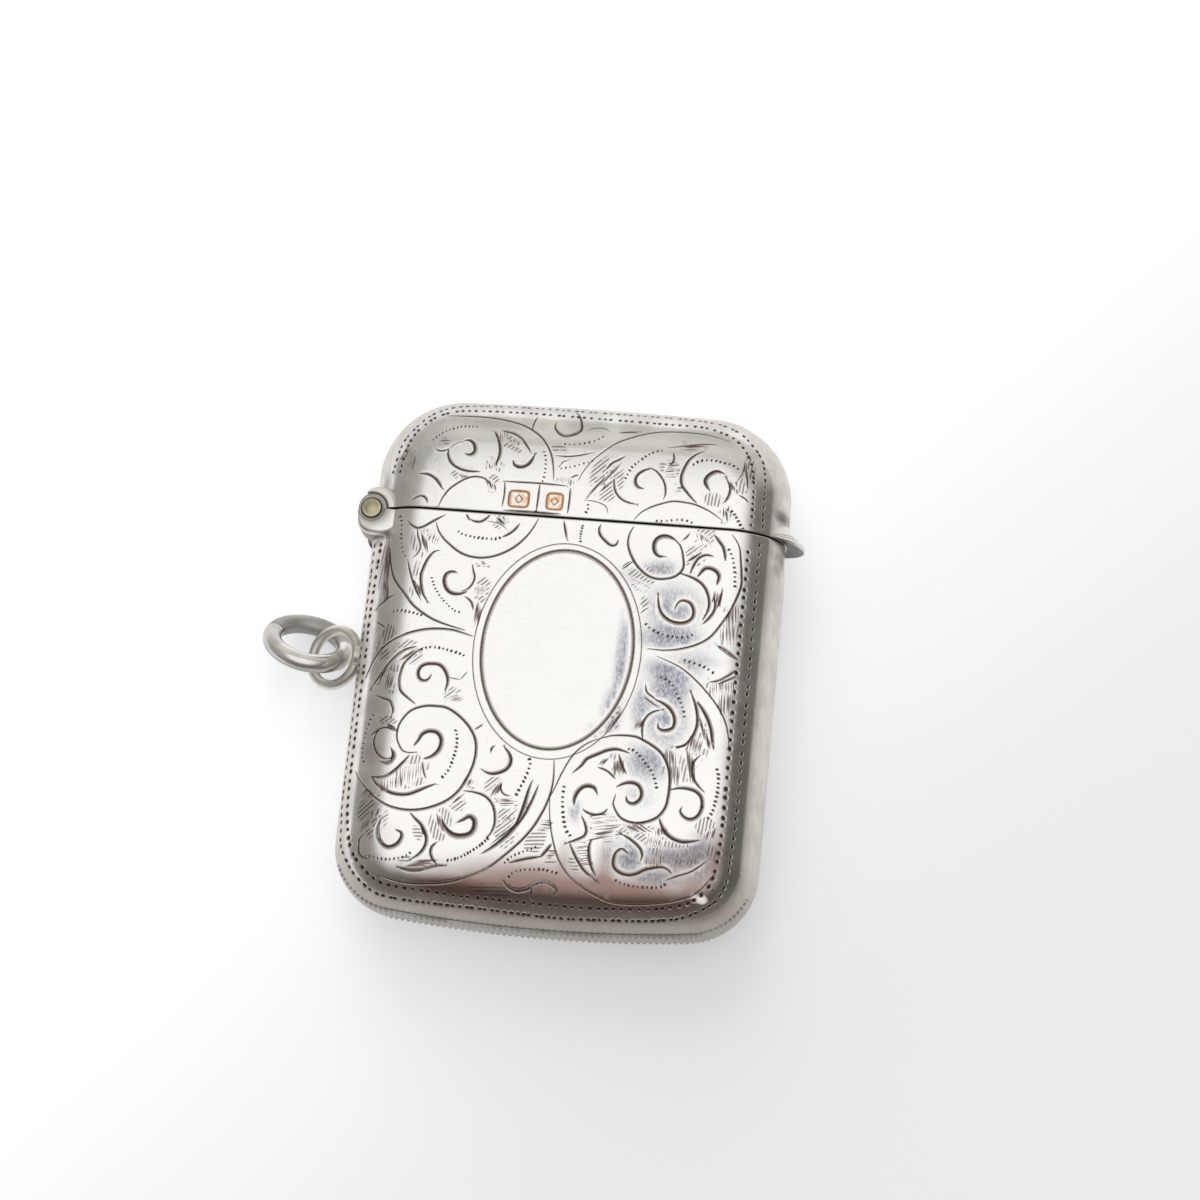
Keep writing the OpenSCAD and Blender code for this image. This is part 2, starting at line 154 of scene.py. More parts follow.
# Engraver's strokes on the body, in the same layout.
bodyDesign = {
    "strokes": [
        (.2, -15.4, 8.9, -15.1, 7.2, -14.7, 5.8, -14.2, 5, -13.5, 4.2, -12.8, 3.4, -12, 2.8, -11, 2.25, -10,
         1.9, -9, 1.65, -8.15, 1.45),
        (.2, -7.45, .98, -8.3, 1.2, -9.2, 1.38, -10.2, 1.4, -11.2, 1.3, -12.2, 1.05, -13.2, .65, -14.2, .05,
         -14.9, -.6, -15.5, -1.5, -16.1, -2.9),
        (.24, -11.1, 8.1, -11.5, 7.9, -11.9, 7.3, -12.15, 6.6, -12.3, 5.9, -12.2, 5.1, -11.95, 4.3, -11.55,
         3.7),
        (.15, -13.6, 7.1, -13.3, 6.2, -12.9, 5.2, -12.5, 4.4, -12.1, 3.8),
        (.32, -9.4, 6.3, -9.8, 6.35, -10.2, 6.1, -10.3, 5.5, -10, 4.85, -9.5, 4.55, -8.9, 4.55, -8.35, 4.75),
        (.17, -8.75, 4.75, -8.3, 5, -7.95, 5.5, -7.85, 6.05, -8, 6.5, -8.15, 7.1),
        (.18, -8.4, 4.3, -8, 4.05, -7.75, 3.7, -7.65, 3.25),
        (.22, -13.95, 10.5, -13.6, 10.15, -13.1, 9.95, -12.6, 10.1, -12.1, 10.45, -11.5, 10.85, -11, 11.15),
        (.14, -13.1, 9.9, -12.95, 9.2, -12.7, 8.6, -12.65, 8.1, -12.9, 7.6, -13.15, 7.35),
        (.22, -8.7, 10.95, -8.2, 10.85, -7.8, 10.9, -7.4, 11.2, -7.15, 11.45),
        (.16, -9.1, 11.4, -8.9, 11.1, -8.75, 10.9),
        (.07, -7.3, 10.95, -6.5, 10.85, -6, 10.65, -5.6, 10.35),
        (.2, -11.55, 10.5, -11.3, 9.85, -10.8, 9.2, -10.2, 8.7, -9.4, 8.15, -8.6, 7.85, -7.7, 7.75, -6.8,
         7.87, -5.9, 8.2, -5, 8.75, -4.2, 9.5, -3.55, 10.4, -3.05, 11.45),
        (.22, -5.9, 9.65, -5.3, 10.05, -4.9, 10.45, -4.6, 10.9),
        (.17, -15.85, 3, -15.3, 3.5, -14.8, 3.9, -14.35, 4.05),
        (.17, -15.7, 1.85, -15.2, 1.55, -14.8, 1.2),
        (.22, 4.95, 11.35, 4.7, 10.8, 4.6, 10.1, 4.75, 9.4, 5.1, 8.7, 5.6, 8, 6.3, 7.4, 7, 7.1, 7.8, 7.08,
         8.6, 7.3, 9.15, 7.75, 9.35, 8.3, 9.25, 9, 9.1, 9.6, 8.85, 10.1, 8.4, 10.5),
        (.34, 8.5, 10.45, 7.9, 10.7, 7.3, 10.65, 6.9, 10.3, 6.8, 9.8, 6.95, 9.3, 7.3, 9, 7.7, 9),
        (.25, 9.1, 7.65, 9.8, 7.5, 10.5, 7.25, 11.1, 6.85, 11.5, 6.3, 11.75, 5.6, 11.8, 5, 11.65, 4.4,
         11.35, 3.8),
        (.24, 12.1, 5.8, 12.3, 5.3, 12.3, 4.9, 12.15, 4.4, 11.8, 3.9, 11.4, 3.45),
        (.16, 12.75, 6.6, 12.7, 5.7, 12.45, 4.9),
        (.3, 9, 4.65, 9.15, 5.05, 9.45, 5.35, 9.9, 5.35, 10.3, 5.15, 10.55, 4.7, 10.6, 4.2, 10.4, 3.75, 9.9,
         3.45, 9.2, 3.38, 8.5, 3.6, 8, 4, 7.7, 4.5, 7.55, 5.1, 7.5, 5.6),
        (.24, 9.95, 7.65, 10.1, 8.2, 10.35, 8.8, 10.7, 9.2, 11.2, 9.4, 11.75, 9.3),
        (.34, 10.6, 7.45, 10.85, 7.9, 11.15, 8.25, 11.6, 8.3, 12.1, 8.1, 12.4, 7.7, 12.35, 7.2, 12.25, 6.9),
        (.26, 11.7, 11.15, 12.1, 10.7, 12.5, 10.2, 12.7, 9.6, 12.8, 9),
        (.19, 13.2, 11.2, 13.6, 10.7, 13.9, 10.1, 14.05, 9.2, 14.2, 8.2, 14.3, 7.2, 14.15, 6.4, 13.9, 5.6,
         13.5, 4.6, 13, 3.7, 12.5, 2.9, 12, 2.3, 11.2, 1.75, 10.2, 1.35, 9.2, 1.1, 8.2, 1, 7.15, 1.05),
        (.34, 12.8, 1.75, 13.4, 1.45, 14, 1.1, 14.5, .8),
        (.1, 4.3, 7.8, 4.6, 8.1, 4.95, 8.35),
        (.1, 6.2, 4, 6.5, 4.3, 6.85, 4.55),
        (.16, 9.1, 10.5, 9.4, 10.8, 9.6, 11.1),
        (.24, 2.2, 11.3, 2.1, 10.9, 2.3, 10.4, 2.7, 10, 3.2, 9.65, 3.6, 9.7, 3.75, 10.1),
        (.18, -.9, 11.4, -.65, 10.5, -.5, 9.9),
        (.24, -12, -.25, -12.8, -.55, -13.5, -1.05, -14.2, -1.9, -14.8, -2.9, -15.4, -3.85),
        (.16, -14.2, -2.2, -14.6, -2.9, -14.9, -3.7),
        (.22, -12.25, -1.1, -12.8, -1.7, -13, -2.3, -13.1, -3.1, -12.95, -3.9, -12.6, -4.3, -12, -4.75,
         -11.55, -5.05),
        (.3, -10.5, -2.55, -10.7, -2.95, -11.1, -3.1, -11.5, -2.9, -11.65, -2.4, -11.5, -1.95, -11.1, -1.65,
         -10.5, -1.55, -9.9, -1.6, -9.45, -1.95, -9.15, -2.5, -9.05, -3.1, -9.2, -3.8),
        (.2, -14.85, -4.55, -14.3, -4.75, -13.7, -4.95, -13.45, -5.35, -13.3, -5.8, -13.4, -6.2),
        (.22, -10.95, -9.1, -11.5, -9.2, -12.1, -9.1, -12.5, -8.6, -12.75, -8, -12.75, -7.2, -12.5, -6.5,
         -12, -5.8, -11.4, -5.4, -10.6, -5.15, -9.8, -5.1, -9, -5.15, -8.3, -5.45, -7.5, -6, -6.8, -6.7,
         -6.3, -7.5, -6.1, -8.3, -6.1, -9.2, -6.3, -10.2, -6.7, -11.2, -7.2, -12.1, -8, -12.9, -9, -13.45,
         -10, -13.8, -11, -13.95, -12, -13.9, -13, -13.65, -14, -13.1, -14.8, -12.4, -15.5, -11.6, -15.95,
         -10.9),
        (.36, -11.25, -8.55, -10.95, -8.05, -10.75, -7.6, -10.35, -7.28, -9.8, -7.2, -9.35, -7.35, -9.05,
         -7.75, -9, -8.3, -9.2, -8.9, -9.7, -9.38, -10.3, -9.62),
        (.08, -8.98, -2.65, -8.1, -2.75),
        (.08, -8.05, -2.75, -7.55, -2.05),
        (.16, 10.08, -6.96, 10.91, -6.79),
        (.2, -14.95, -7.95, -14.5, -7.5, -14, -7.25, -13.5, -7.25, -13.1, -7.45),
        (.2, -14.2, -7.4, -14.55, -7.9, -14.6, -8.5, -14.4, -9.1, -14, -9.6, -13.5, -9.85, -13.15, -9.75),
        (.38, -13.05, -9, -12.8, -9.4, -12.9, -9.9, -13.3, -10.2, -13.8, -10.15),
        (.26, -11.55, -9.45, -12, -10.1, -12.6, -10.8, -13.2, -11.25, -13.9, -11.45, -14.5, -11.4),
        (.3, -14.4, -11.45, -13.9, -12, -13.2, -12.4, -12.3, -12.65, -11.3, -12.6, -10.4, -12.2, -9.7,
         -11.85, -9.1, -11.6),
        (.14, -10.35, -9.9, -10.2, -10.6, -9.95, -11.2),
        (.14, -6.4, -6.85, -6.1, -6.6, -5.75, -6.35),
        (.14, 8, .45, 9, .1, 10, -.35, 11, -1.05, 12, -1.95, 12.8, -2.8, 13.5, -3.7, 14, -4.6, 14.3, -5.6,
         14.5, -6.9),
        (.16, 7.2, -2, 7.4, -2.6, 7.9, -2.95, 8.15, -3.2),
        (.32, 8.1, -3.15, 8.7, -3.35, 9.3, -3.7, 9.7, -4.2, 9.9, -4.8, 9.8, -5.4, 9.4, -5.65, 8.9, -5.7,
         8.55, -5.5, 8.5, -5.15),
        (.2, 8.7, -4, 8.1, -4.2, 7.6, -4.6, 7.35, -5.2, 7.3, -5.8, 7.4, -6.5),
        (.28, 11, -2.4, 11.4, -3.2, 11.65, -4, 11.75, -4.8, 11.65, -5.5, 11.35, -6.2, 10.9, -6.75, 10.2,
         -7.1),
        (.32, 11.6, -3.1, 12.1, -3.7, 12.6, -4.5, 12.95, -5.4, 13.1, -6.2, 13.25, -6.9),
        (.2, 12.4, -1.35, 13.1, -1.15, 13.7, -.75, 14.4, -.15),
        (.16, 13.1, -1.45, 13.8, -1.05, 14.5, -.65),
        (.3, 2.05, -9.7, 2.6, -9.1, 3, -8.5, 3.8, -8.05, 4.6, -7.65, 5.3, -7.5, 5.9, -7.6, 6.35, -7.75),
        (.12, 4.2, -6.7, 3.2, -7.1, 2.3, -7.8, 1.6, -8.8, 1, -10.2, .65, -11.2, .35, -12),
        (.25, 4, -6.75, 4.8, -6.45, 5.8, -6.33, 6.8, -6.35, 7.5, -6.6, 8.3, -7, 9, -7.5, 9.5, -8.2, 9.85,
         -9.1, 9.97, -10, 9.95, -11, 9.8, -12, 9.3, -12.8, 8.6, -13.25, 7.7, -13.5, 6.9, -13.45, 6.2,
         -13.15, 5.75, -12.6, 5.5, -12, 5.65, -11.3),
        (.34, 5.7, -10.6, 6.2, -10.3, 6.8, -10.15, 7.4, -10.3, 7.75, -10.8, 7.75, -11.4, 7.4, -11.85, 6.95,
         -11.95, 6.6, -11.75, 6.5, -11.4),
        (.18, 4, -9.15, 4.6, -9.3, 5.1, -9.6, 5.5, -10),
        (.2, 5.6, -7.95, 5.95, -8.8, 6.35, -9.5),
        (.32, 10.1, -10.5, 10.8, -10.3, 11.5, -10.3, 12.1, -10.45, 12.6, -10.9, 12.75, -11.6, 12.6, -12.3,
         12.2, -12.75, 11.7, -12.85, 11.2, -12.6, 10.95, -12.2, 11.1, -11.9),
        (.2, 12.2, -7.5, 11.8, -8, 11.65, -8.5, 11.75, -9.1, 11.95, -9.6, 12.35, -10.1, 12.8, -10.5),
        (.34, 9.4, -13, 9.7, -13.6, 10.1, -14.1, 10.6, -14.45, 11.3, -14.65, 12, -14.6, 12.7, -14.45),
        (.44, -6.95, -14.6, -6.5, -14.3, -6.05, -14, -5.6, -14.25, -5.5, -14.8, -5.65, -15.3, -6, -15.6,
         -6.6, -15.75, -7.2, -15.7, -7.7, -15.4, -8.1, -14.9, -8.25, -14.5),
        (.22, -6.7, -11.98, -6, -12, -5.2, -12.15, -4.6, -12.5, -4.15, -13.1, -3.95, -13.8, -3.9, -14.5,
         -4.1, -15.2, -4.5, -15.8),
        (.36, -11.9, -15.65, -11.5, -15.75, -11.35, -16.1, -11.5, -16.6, -11.9, -17, -12.5, -17.15, -13,
         -16.85, -13.35, -16.3, -13.45, -15.6, -13.3, -14.95),
        (.28, -10.85, -14.2, -10.4, -14.6, -9.9, -15, -9.5, -15.6, -9.3, -16.2, -9.4, -16.9, -9.8, -17.5,
         -10.4, -17.95),
        (.24, -8.45, -16.4, -8.8, -16.8, -8.85, -17.3, -8.6, -17.8, -8.3, -18.15),
        (.28, -11.4, -18.65, -10.6, -18.8, -9.8, -18.75, -9, -18.5, -8.2, -18.25, -7.5, -18.2),
        (.18, -14.45, -16.15, -14.8, -16.5, -14.85, -17.1, -14.75, -17.7, -14.4, -18, -13.9, -18.15),
        (.22, -12.9, -19.4, -12, -19.6, -11, -19.75, -10, -19.77, -9, -19.7, -8, -19.6, -7, -19.4, -6,
         -19.05, -5, -18.6, -4, -18, -3.1, -17.2, -2.3, -16.4, -1.5, -15.5, -.8, -14.5, -.3, -13.5, .1,
         -12.5, .35, -11.5, .45, -10.5, .42, -9.6, .35, -8.9),
        (.32, -5.3, -10.2, -4.7, -10.35, -4, -10.2, -3.4, -9.8, -3.2, -9.2, -3.4, -8.6, -3.75, -8.2),
        (.18, -4.9, -8.65, -4.85, -8.25, -4.6, -8.05),
        (.14, -3.75, -11.1, -3.7, -11.6, -3.4, -12, -2.9, -12.1),
        (.34, -1.3, -10.9, -1.5, -11.9, -1.65, -12.8, -1.9, -13.8, -2.2, -14.6, -2.8, -15.4, -3.5, -16.1,
         -4.1, -16.6, -4.6, -16.95),
        (.22, -.7, -11.1, -.95, -12, -1.3, -13, -1.7, -13.9, -2.05, -14.5),
        (.15, .35, -12, .45, -13.2, .7, -14.5, 1.05, -15.7, 1.5, -16.8, 2.1, -17.7, 2.9, -18.5, 4, -19.2, 5,
         -19.65, 6, -19.95, 7.5, -20, 9, -19.85, 10.3, -19.65, 11.5, -19.35, 12.5, -18.95, 13.2, -18.4,
         13.8, -17.6, 14.2, -17),
        (.26, -2.4, -17.55, -1.6, -17.25, -.7, -17, .1, -16.85),
        (.28, .05, -16.9, .4, -16.4, .85, -15.75),
        (.3, -2.75, -19, -2.4, -19.4, -1.8, -19.68, -1.2, -19.65, -.6, -19.4, 0, -19, .6, -18.9, 1.2,
         -19.05, 1.65, -19.45, 1.5, -19.8),
        (.22, -.4, -19.5, -.35, -20, -.2, -20.4),
        (.36, 2.35, -12.4, 2.3, -11.9, 2.5, -11.3, 2.9, -10.85, 3.4, -10.7, 3.9, -10.85, 4.15, -11.3),
        (.22, 3.1, -12.7, 3.6, -12.95, 4.2, -13.05, 4.8, -12.85, 5.1, -12.5),
        (.24, 3.1, -13.3, 3.4, -13.8, 3.6, -14.4, 3.5, -14.85, 3, -15.2, 2.1, -15.6),
        (.26, 2.35, -15.6, 2.7, -16.2, 3.2, -17, 3.8, -17.7, 4.5, -18.2, 5, -18.6),
        (.26, 4.1, -15.1, 3.95, -15.7, 4.05, -16.5, 4.3, -17.3, 4.7, -18.05),
        (.26, 6.5, -14.5, 7.1, -14.75, 7.7, -15.15, 8.15, -15.6, 8.3, -16.1, 8.2, -16.5),
        (.34, 7, -15.95, 6.6, -15.7, 6.2, -16, 6.05, -16.5, 6.1, -17.1, 6.5, -17.5, 7.2, -17.7, 7.9, -17.55,
         8.6, -17.15, 9.3, -16.95, 9.9, -16.85, 10.4, -17, 10.75, -17.3),
        (.18, 10.3, -17.95, 11.2, -17.5, 12.2, -17.1, 12.9, -16.6, 13.5, -16.05),
    ],
    "beads": [
        (11, .1, -9.6, 9.85, -9.25, 9.65, -8.5, 9.5, -7.5, 9.42, -6.6, 9.42, -6.1, 9.55),
        (10, .09, -14.7, 10.9, -14.5, 10.3, -14.45, 9.5, -14.3, 8.5, -14.1, 7.8, -13.9, 7.45),
        (13, .08, -11.4, 5.7, -11.1, 5, -10.7, 4.4, -10.2, 3.85, -9.7, 3.4, -9.2, 3.05, -8.8, 2.95),
        (8, .1, -14.3, 2.65, -13.9, 2.75, -13.2, 2.68, -12.6, 2.6, -11.9, 2.45),
        (9, .1, 13, 9.95, 13.3, 9.4, 13.5, 8.7, 13.65, 8, 13.7, 7.3, 13.75, 6.9),
        (11, .1, 6.75, 3.1, 7.1, 2.8, 7.7, 2.5, 8.4, 2.3, 9.1, 2.22, 9.9, 2.22, 10.3, 2.3, 10.6, 2.5),
        (7, .09, .7, 11.1, .6, 10.3, .65, 9.75),
        (11, .1, -11.5, -.45, -11.1, -.25, -10.5, -.2, -9.8, -.25, -9.1, -.4, -8.4, -.55, -8, -.7),
        (11, .1, -15, -6.2, -15.2, -6.7, -15.4, -7.4, -15.5, -8.2, -15.55, -9, -15.5, -9.7, -15.3, -10.1),
        (13, .1, -7.95, -7.05, -7.8, -7.5, -7.73, -8.2, -7.8, -8.9, -7.95, -9.6, -8.1, -10.2, -8.4, -10.75,
         -8.6, -11),
        (11, .1, 8.4, -1.3, 9, -1.5, 9.5, -2, 9.9, -2.7, 10.2, -3.3, 10.5, -3.9, 10.6, -4.4),
        (7, .1, 10.2, .3, 10.7, .2, 11.4, 0, 12, -.2, 12.6, -.55),
        (12, .11, 13.65, -8.55, 13.8, -9, 13.85, -9.7, 13.85, -10.4, 13.75, -11.2, 13.6, -12, 13.3, -12.6),
        (12, .1, 6.35, -7.45, 6.8, -7.55, 7.3, -7.95, 7.8, -8.5, 8.3, -9.05, 8.6, -9.6, 8.8, -10.1, 8.9,
         -10.45),
        (12, .09, -14.2, -17.9, -13.6, -18, -12.9, -18.1, -12.2, -18.1, -11.5, -17.95, -10.9, -17.75,
         -10.55, -17.45),
        (14, .11, -7.4, -17.8, -7, -17.7, -6.4, -17.45, -5.8, -17.05, -5.2, -16.6, -4.8, -16.25, -4.35,
         -15.75),
        (9, .11, -1.65, -8.95, -1.55, -9.2, -1.65, -9.9, -1.9, -10.7, -2.15, -11.3, -2.4, -11.95),
        (11, .11, 1.4, -11, 1.38, -11.5, 1.42, -12.3, 1.55, -13.2, 1.75, -14.1, 2, -14.65, 2.3, -14.95),
        (9, .09, -2.75, -17.6, -2.3, -17.1, -1.6, -16.7, -.9, -16.4, -.4, -16.15),
        (12, .1, -2.3, -18.7, -2, -18.35, -1.4, -18.1, -.6, -18, .3, -17.9, 1, -18, 1.5, -18.1),
        (12, .1, 6.35, -18.3, 6.9, -18.5, 7.8, -18.65, 8.8, -18.65, 9.6, -18.6, 10, -18.5, 10.3, -18.3),
    ],
    "shading": [
        (8, -12.75, 9.6, -12.2, 8.9, .3, -1.2), (7, -12.1, 9.6, -11.2, 9.3, -.15, -.7),
        (9, -15.65, 8.6, -15.15, 8.2, .1, -3.2), (7, -15.5, 5.6, -15, 5, .12, -1.7),
        (6, -6.6, 11.35, -6, 11.1, .3, -.5), (5, -6.3, 10.75, -5.8, 11.15, -.25, .4),
        (6, -7.5, 5.3, -6.7, 5.3, -.35, -.75), (8, -7.3, 4, -6.9, 3.2, -.2, -1.6),
        (4, -7.5, 7.45, -7.45, 7.05, .5, 0), (7, -12.8, 5.4, -12.3, 4.9, .2, -.9),
        (8, -13.3, -1.6, -12.4, -1.25, 1.1, 1.05), (7, -14.1, -2.6, -13.5, -2.6, -.2, -1.5),
        (5, -8.95, -4.45, -8.3, -4.75, .75, .4), (7, -13.8, -6.85, -13.4, -7.25, .8, -.3),
        (10, -12.4, -10.75, -10.4, -9.9, .1, -1.5), (8, -13.5, -11.75, -12, -11.2, .08, -.85),
        (6, -6.6, -10.9, -6, -11, -.25, -.65), (8, -14.1, -14.1, -13.3, -13.9, -.1, -.8),
        (7, -14.7, -15.1, -14.1, -14.7, -.1, -.9), (7, -8.75, -14, -8.2, -14.4, .3, -1.2),
        (6, -7.6, -13.2, -7, -12.7, .35, .5), (6, -9.95, -15.1, -9.6, -15.7, .35, -.7),
        (8, -10.9, -18.55, -9.8, -17.95, 1.6, .12), (8, -15.6, -.1, -15.2, -1.3, .35, .8),
        (8, -15.2, -13, -14.4, -13.3, .5, .75), (9, -4.1, -16.25, -2.4, -14.7, 1.1, 1.2),
        (6, -3.4, -14.4, -2.9, -13.9, .75, .8), (6, -3.9, -12.45, -3.7, -13, 1.4, .12),
        (7, -4.5, -12.3, -3.9, -12, .35, 1), (7, -.45, -14.8, -.1, -13.9, .9, .02),
        (7, .5, -16.95, .75, -16.3, .65, 0), (9, 3.7, -13.25, 4.4, -15, 1.5, .3),
        (9, 2.7, -15.8, 3.6, -17.3, .95, .15), (9, 5.1, -14.9, 6.5, -13.7, -1.3, -.35),
        (11, 5.2, -8.5, 6, -8.4, .15, -1.2), (6, 4.3, -8.5, 4.9, -8.3, -.35, -.55),
        (9, 9.2, -13.75, 10, -13.75, .02, -.7), (10, 6.6, -13.75, 7.9, -13.6, .9, -.5),
        (9, 8.7, -14.5, 9.8, -14.7, -.1, -.7), (16, 9.8, -15.5, 13.2, -14.9, .02, -1),
        (12, 8.6, -16.3, 10, -16.05, .02, -.6), (9, 13.2, -13.8, 14, -13.3, -.1, -.8),
        (14, 11.9, -4.4, 12.8, -6.2, .2, -1.1), (10, 11.3, -6, 12.3, -6.3, -.2, -1.2),
        (9, 11.1, -7.1, 11.7, -7.9, .2, -2), (9, 9.3, -7.2, 10.1, -7.4, .2, -1.3),
        (9, 9.8, -8.5, 10.6, -8.6, .08, -1.5), (12, 12.5, -1.5, 14.3, -1.15, .08, -.9),
        (10, 13.3, -2.3, 14.3, -2.2, .08, -1.6), (9, 13.3, 4.4, 14.1, 5.5, .12, -1.5),
        (9, 12.9, 3.2, 14, 3.6, .1, -1.6), (8, 12.1, 6.3, 12.7, 6.1, -.05, -1.1),
        (9, 9.6, 8.6, 10.2, 9, .65, .65), (7, 10.2, 11.2, 11.2, 10.9, .3, -.7),
        (6, 4.3, 7.6, 4.7, 7.9, .55, .5), (8, 5.2, 6.7, 6.6, 6.1, .3, .3), (6, 7.1, -3, 7.7, -3.4, .9, -.5),
        (7, 4.3, -6.3, 5.2, -5.1, .35, .8), (6, 6.6, -5.8, 7.1, -5.6, .25, .7),
    ],
    "outerRowPitch": (.68, .68, .52, .52, .8, .8),
    "innerRowPitch": (.7, .7, .66, .66, .8, .8),
    "outerRow": (.14, .26, -16.95, 9, -16.95, 7, -17.05, 0, -17.05, -8, -17.05, -13, -16.8,
                 -15.4, -16.6, -16.9, -16, -18.1, -15.1, -19.3, -13.7, -20.4, -12.5, -20.8,
                 -10.5, -21, -7, -21.15, -5, -21.2, 0, -21.4, 3, -21.4, 7, -21.2, 9.1, -21.05,
                 10.6, -20.85, 11.8, -20.6, 13.2, -20, 14.4, -19.1, 15, -18, 15.2, -17, 15.35,
                 -14.8, 15.45, -11, 15.45, 0, 15.4, 8, 15.4, 11.2),
    "innerRow": (.2, .25, -16.2, 9, -16.35, 6.2, -16.5, 2, -16.45, -.7, -16.5, -7, -16.45,
                 -12.3, -16.2, -15, -15.5, -17.4, -14.3, -18.9, -13, -19.8, -11.4, -20.1, -8.3,
                 -20.3, -6, -20.45, 0, -20.55, 4, -20.55, 6.6, -20.4, 9.4, -20.2, 11.8, -19.7,
                 13, -19.05, 13.8, -18.2, 14.2, -17, 14.4, -15.3, 14.5, -12, 14.5, 0, 14.55,
                 8, 14.55, 11.1),
    "upright": [(-12.5, -11.8, .9, .8, 1), (-10.8, -10.7, .9, 1.3, 1), (10, -8.6, .6, 1.6, 1),
                (11.4, -8.4, .5, 1.6, 1), (12.6, -1.9, .7, .7, 1), (13.9, -2.6, .6, 1.8, 1),
                (9.5, -14.2, .6, .7, 1), (11.6, -15.5, 2.4, .9, 1), (-14.5, .7, .5, .7, 1),
                (13.7, 3.6, .7, 1.7, 1), (-15.4, 6.5, .5, 2.6, .9), (-12.6, 8.8, .7, 1.2, 1),
                (12.2, -5.8, .8, 1.8, 1), (5.5, -8.9, .6, 1.1, 1), (-8.3, -14.9, .8, 1.2, 1),
                (-13.6, -3.1, .5, 1.2, .9), (-12.7, 5.4, .5, 1.4, .8), (13.1, -13.3, .7, .7, .9)],
    "slanting": [(-12.6, -.8, 1, .9, 1), (-8.4, -4.2, .7, .6, 1), (10.2, 9, .8, .8, 1),
                 (-3.1, -14.8, 1, 1.5, 1), (-4.3, -11.6, .6, .9, 1), (-7.2, -13, .6, .6, 1),
                 (-6.2, -11.4, .4, .5, 1), (7.8, -14.2, 1.4, .7, 1), (-14, -14.6, 1.1, 1.6, 1),
                 (6, 7, 1, 1, .8), (-7, 4.9, .6, 1, 1), (5, -4.6, .45, 1.3, .8), (11, 10.9, .9, .7, 1),
                 (-6.2, 11, .6, .6, 1), (-13.6, -6.8, .7, .5, .8), (6.5, 4.8, .4, .6, .5),
                 (-14.9, -.7, .6, .8, .8)],
    "level": [(-7.3, 7.3, .5, .35, 1), (-3.2, -12.7, 1, .45, 1), (0, -14.3, .7, .7, 1),
              (.9, -16.8, .6, .45, 1), (5, -14, 1.2, 1.1, 1), (3.2, -16.5, .7, 1.3, 1),
              (-9.8, -18.1, 1.4, .5, 1), (-.6, -15.7, .8, .8, .9), (-9.9, -15.6, .5, .7, .8),
              (-3.2, -19.7, 2, .4, .9)],
    # blue-grey bloom, partly tarnish and partly painted reflection of darker surroundings
    "hazeAndReflection": [(8.9, 4.6, 2.3, 1.9, .9), (8.9, 2, 2.7, 1, 1), (7.6, 7.8, 1.4, .8, .9), (9.3, -.5, 2.2, .9, 1),
             (9.2, -2.2, 1.8, 1.5, 1), (9.2, -5, 1.6, 1.7, 1), (7, -4, .7, 1.8, .85),
             (8, -8.4, 1.9, 1.5, .95), (5.1, -.8, .55, 4.6, 1), (4.5, -4.6, .6, 1.8, 1),
             (3.4, -6.4, .6, .8, .8), (7.2, -16.4, 1.5, 1.5, 1), (5.3, -16.2, .5, 1.2, .5),
             (11, -16.2, 2.6, 1, 1), (12.8, -15.3, 1.2, 1.3, .9), (9.6, -17.8, 2.6, .7, .9),
             (13.2, -17, .9, 1.3, .9), (2.5, -12.9, .5, .9, .8), (7.5, -11.3, 1.2, .9, .5),
             (11.5, .4, 1.5, .6, .5), (5, 7.2, 1.4, .8, .3)],
    # painted warm reflection of the brown surroundings, mostly along the lower border
    "warmReflection": [(-.6, -19.2, 7.5, 2, 1), (8.6, -19.4, 5.2, 1.2, 1), (5.4, -17.4, .8, 1.9, .5),
             (14.2, -16, .8, 2.2, .8), (2, -16.6, .7, 1.2, .4), (-7, -19.8, 4, .7, .9),
             (13, -18.4, 1.4, 1, .6), (11.5, -17, 2.4, 1.3, .4), (-14.6, -9.4, .8, 1.2, .3),
             (-13.9, -14.2, .7, 1.1, .3)],
    # grime with painted shade under the hinge lug, in the thumb scoop and along the lower border
    "grimeAndShade": [(-16.7, 8.95, .7, .32, 1), (-15.7, 9.3, .5, .2, .8), (-15.75, 5.6, .42, 3.2, .4),
              (17.2, 10.2, .6, .7, .8), (16.9, 9.1, .35, .5, .5), (11.2, -16.1, 2.4, .8, .42),
              (9.5, -17.7, 2.4, .6, .42), (13, -15.2, .9, 1.1, .42), (7.2, -16.5, 1.2, 1.1, .36),
              (-9.5, -18.6, 4.5, .8, .2), (-13, -16.6, 1.4, 1.6, .18)],
    "dents": [(13.3, -19.15, .42, .3, 1), (12.7, -19.0, .3, .22, .7)],
    # centre, half axes, lean in degrees, line width
    "ovals": [(-.35, .45, 6.2, 8.4, -1.8, .42), (-.35, .32, 6.92, 9.14, -1.2, .12)],
    "stamps": [],
}

# stamps: share and squareness of the frame, lozenge half axes, half widths of both lines, share with copper
stampSizes = {"share": .82, "square": .4, "lozenge": (.3, .36), "frameLine": .13, "fineLine": .07,
              "fill": .92, "points": 41}

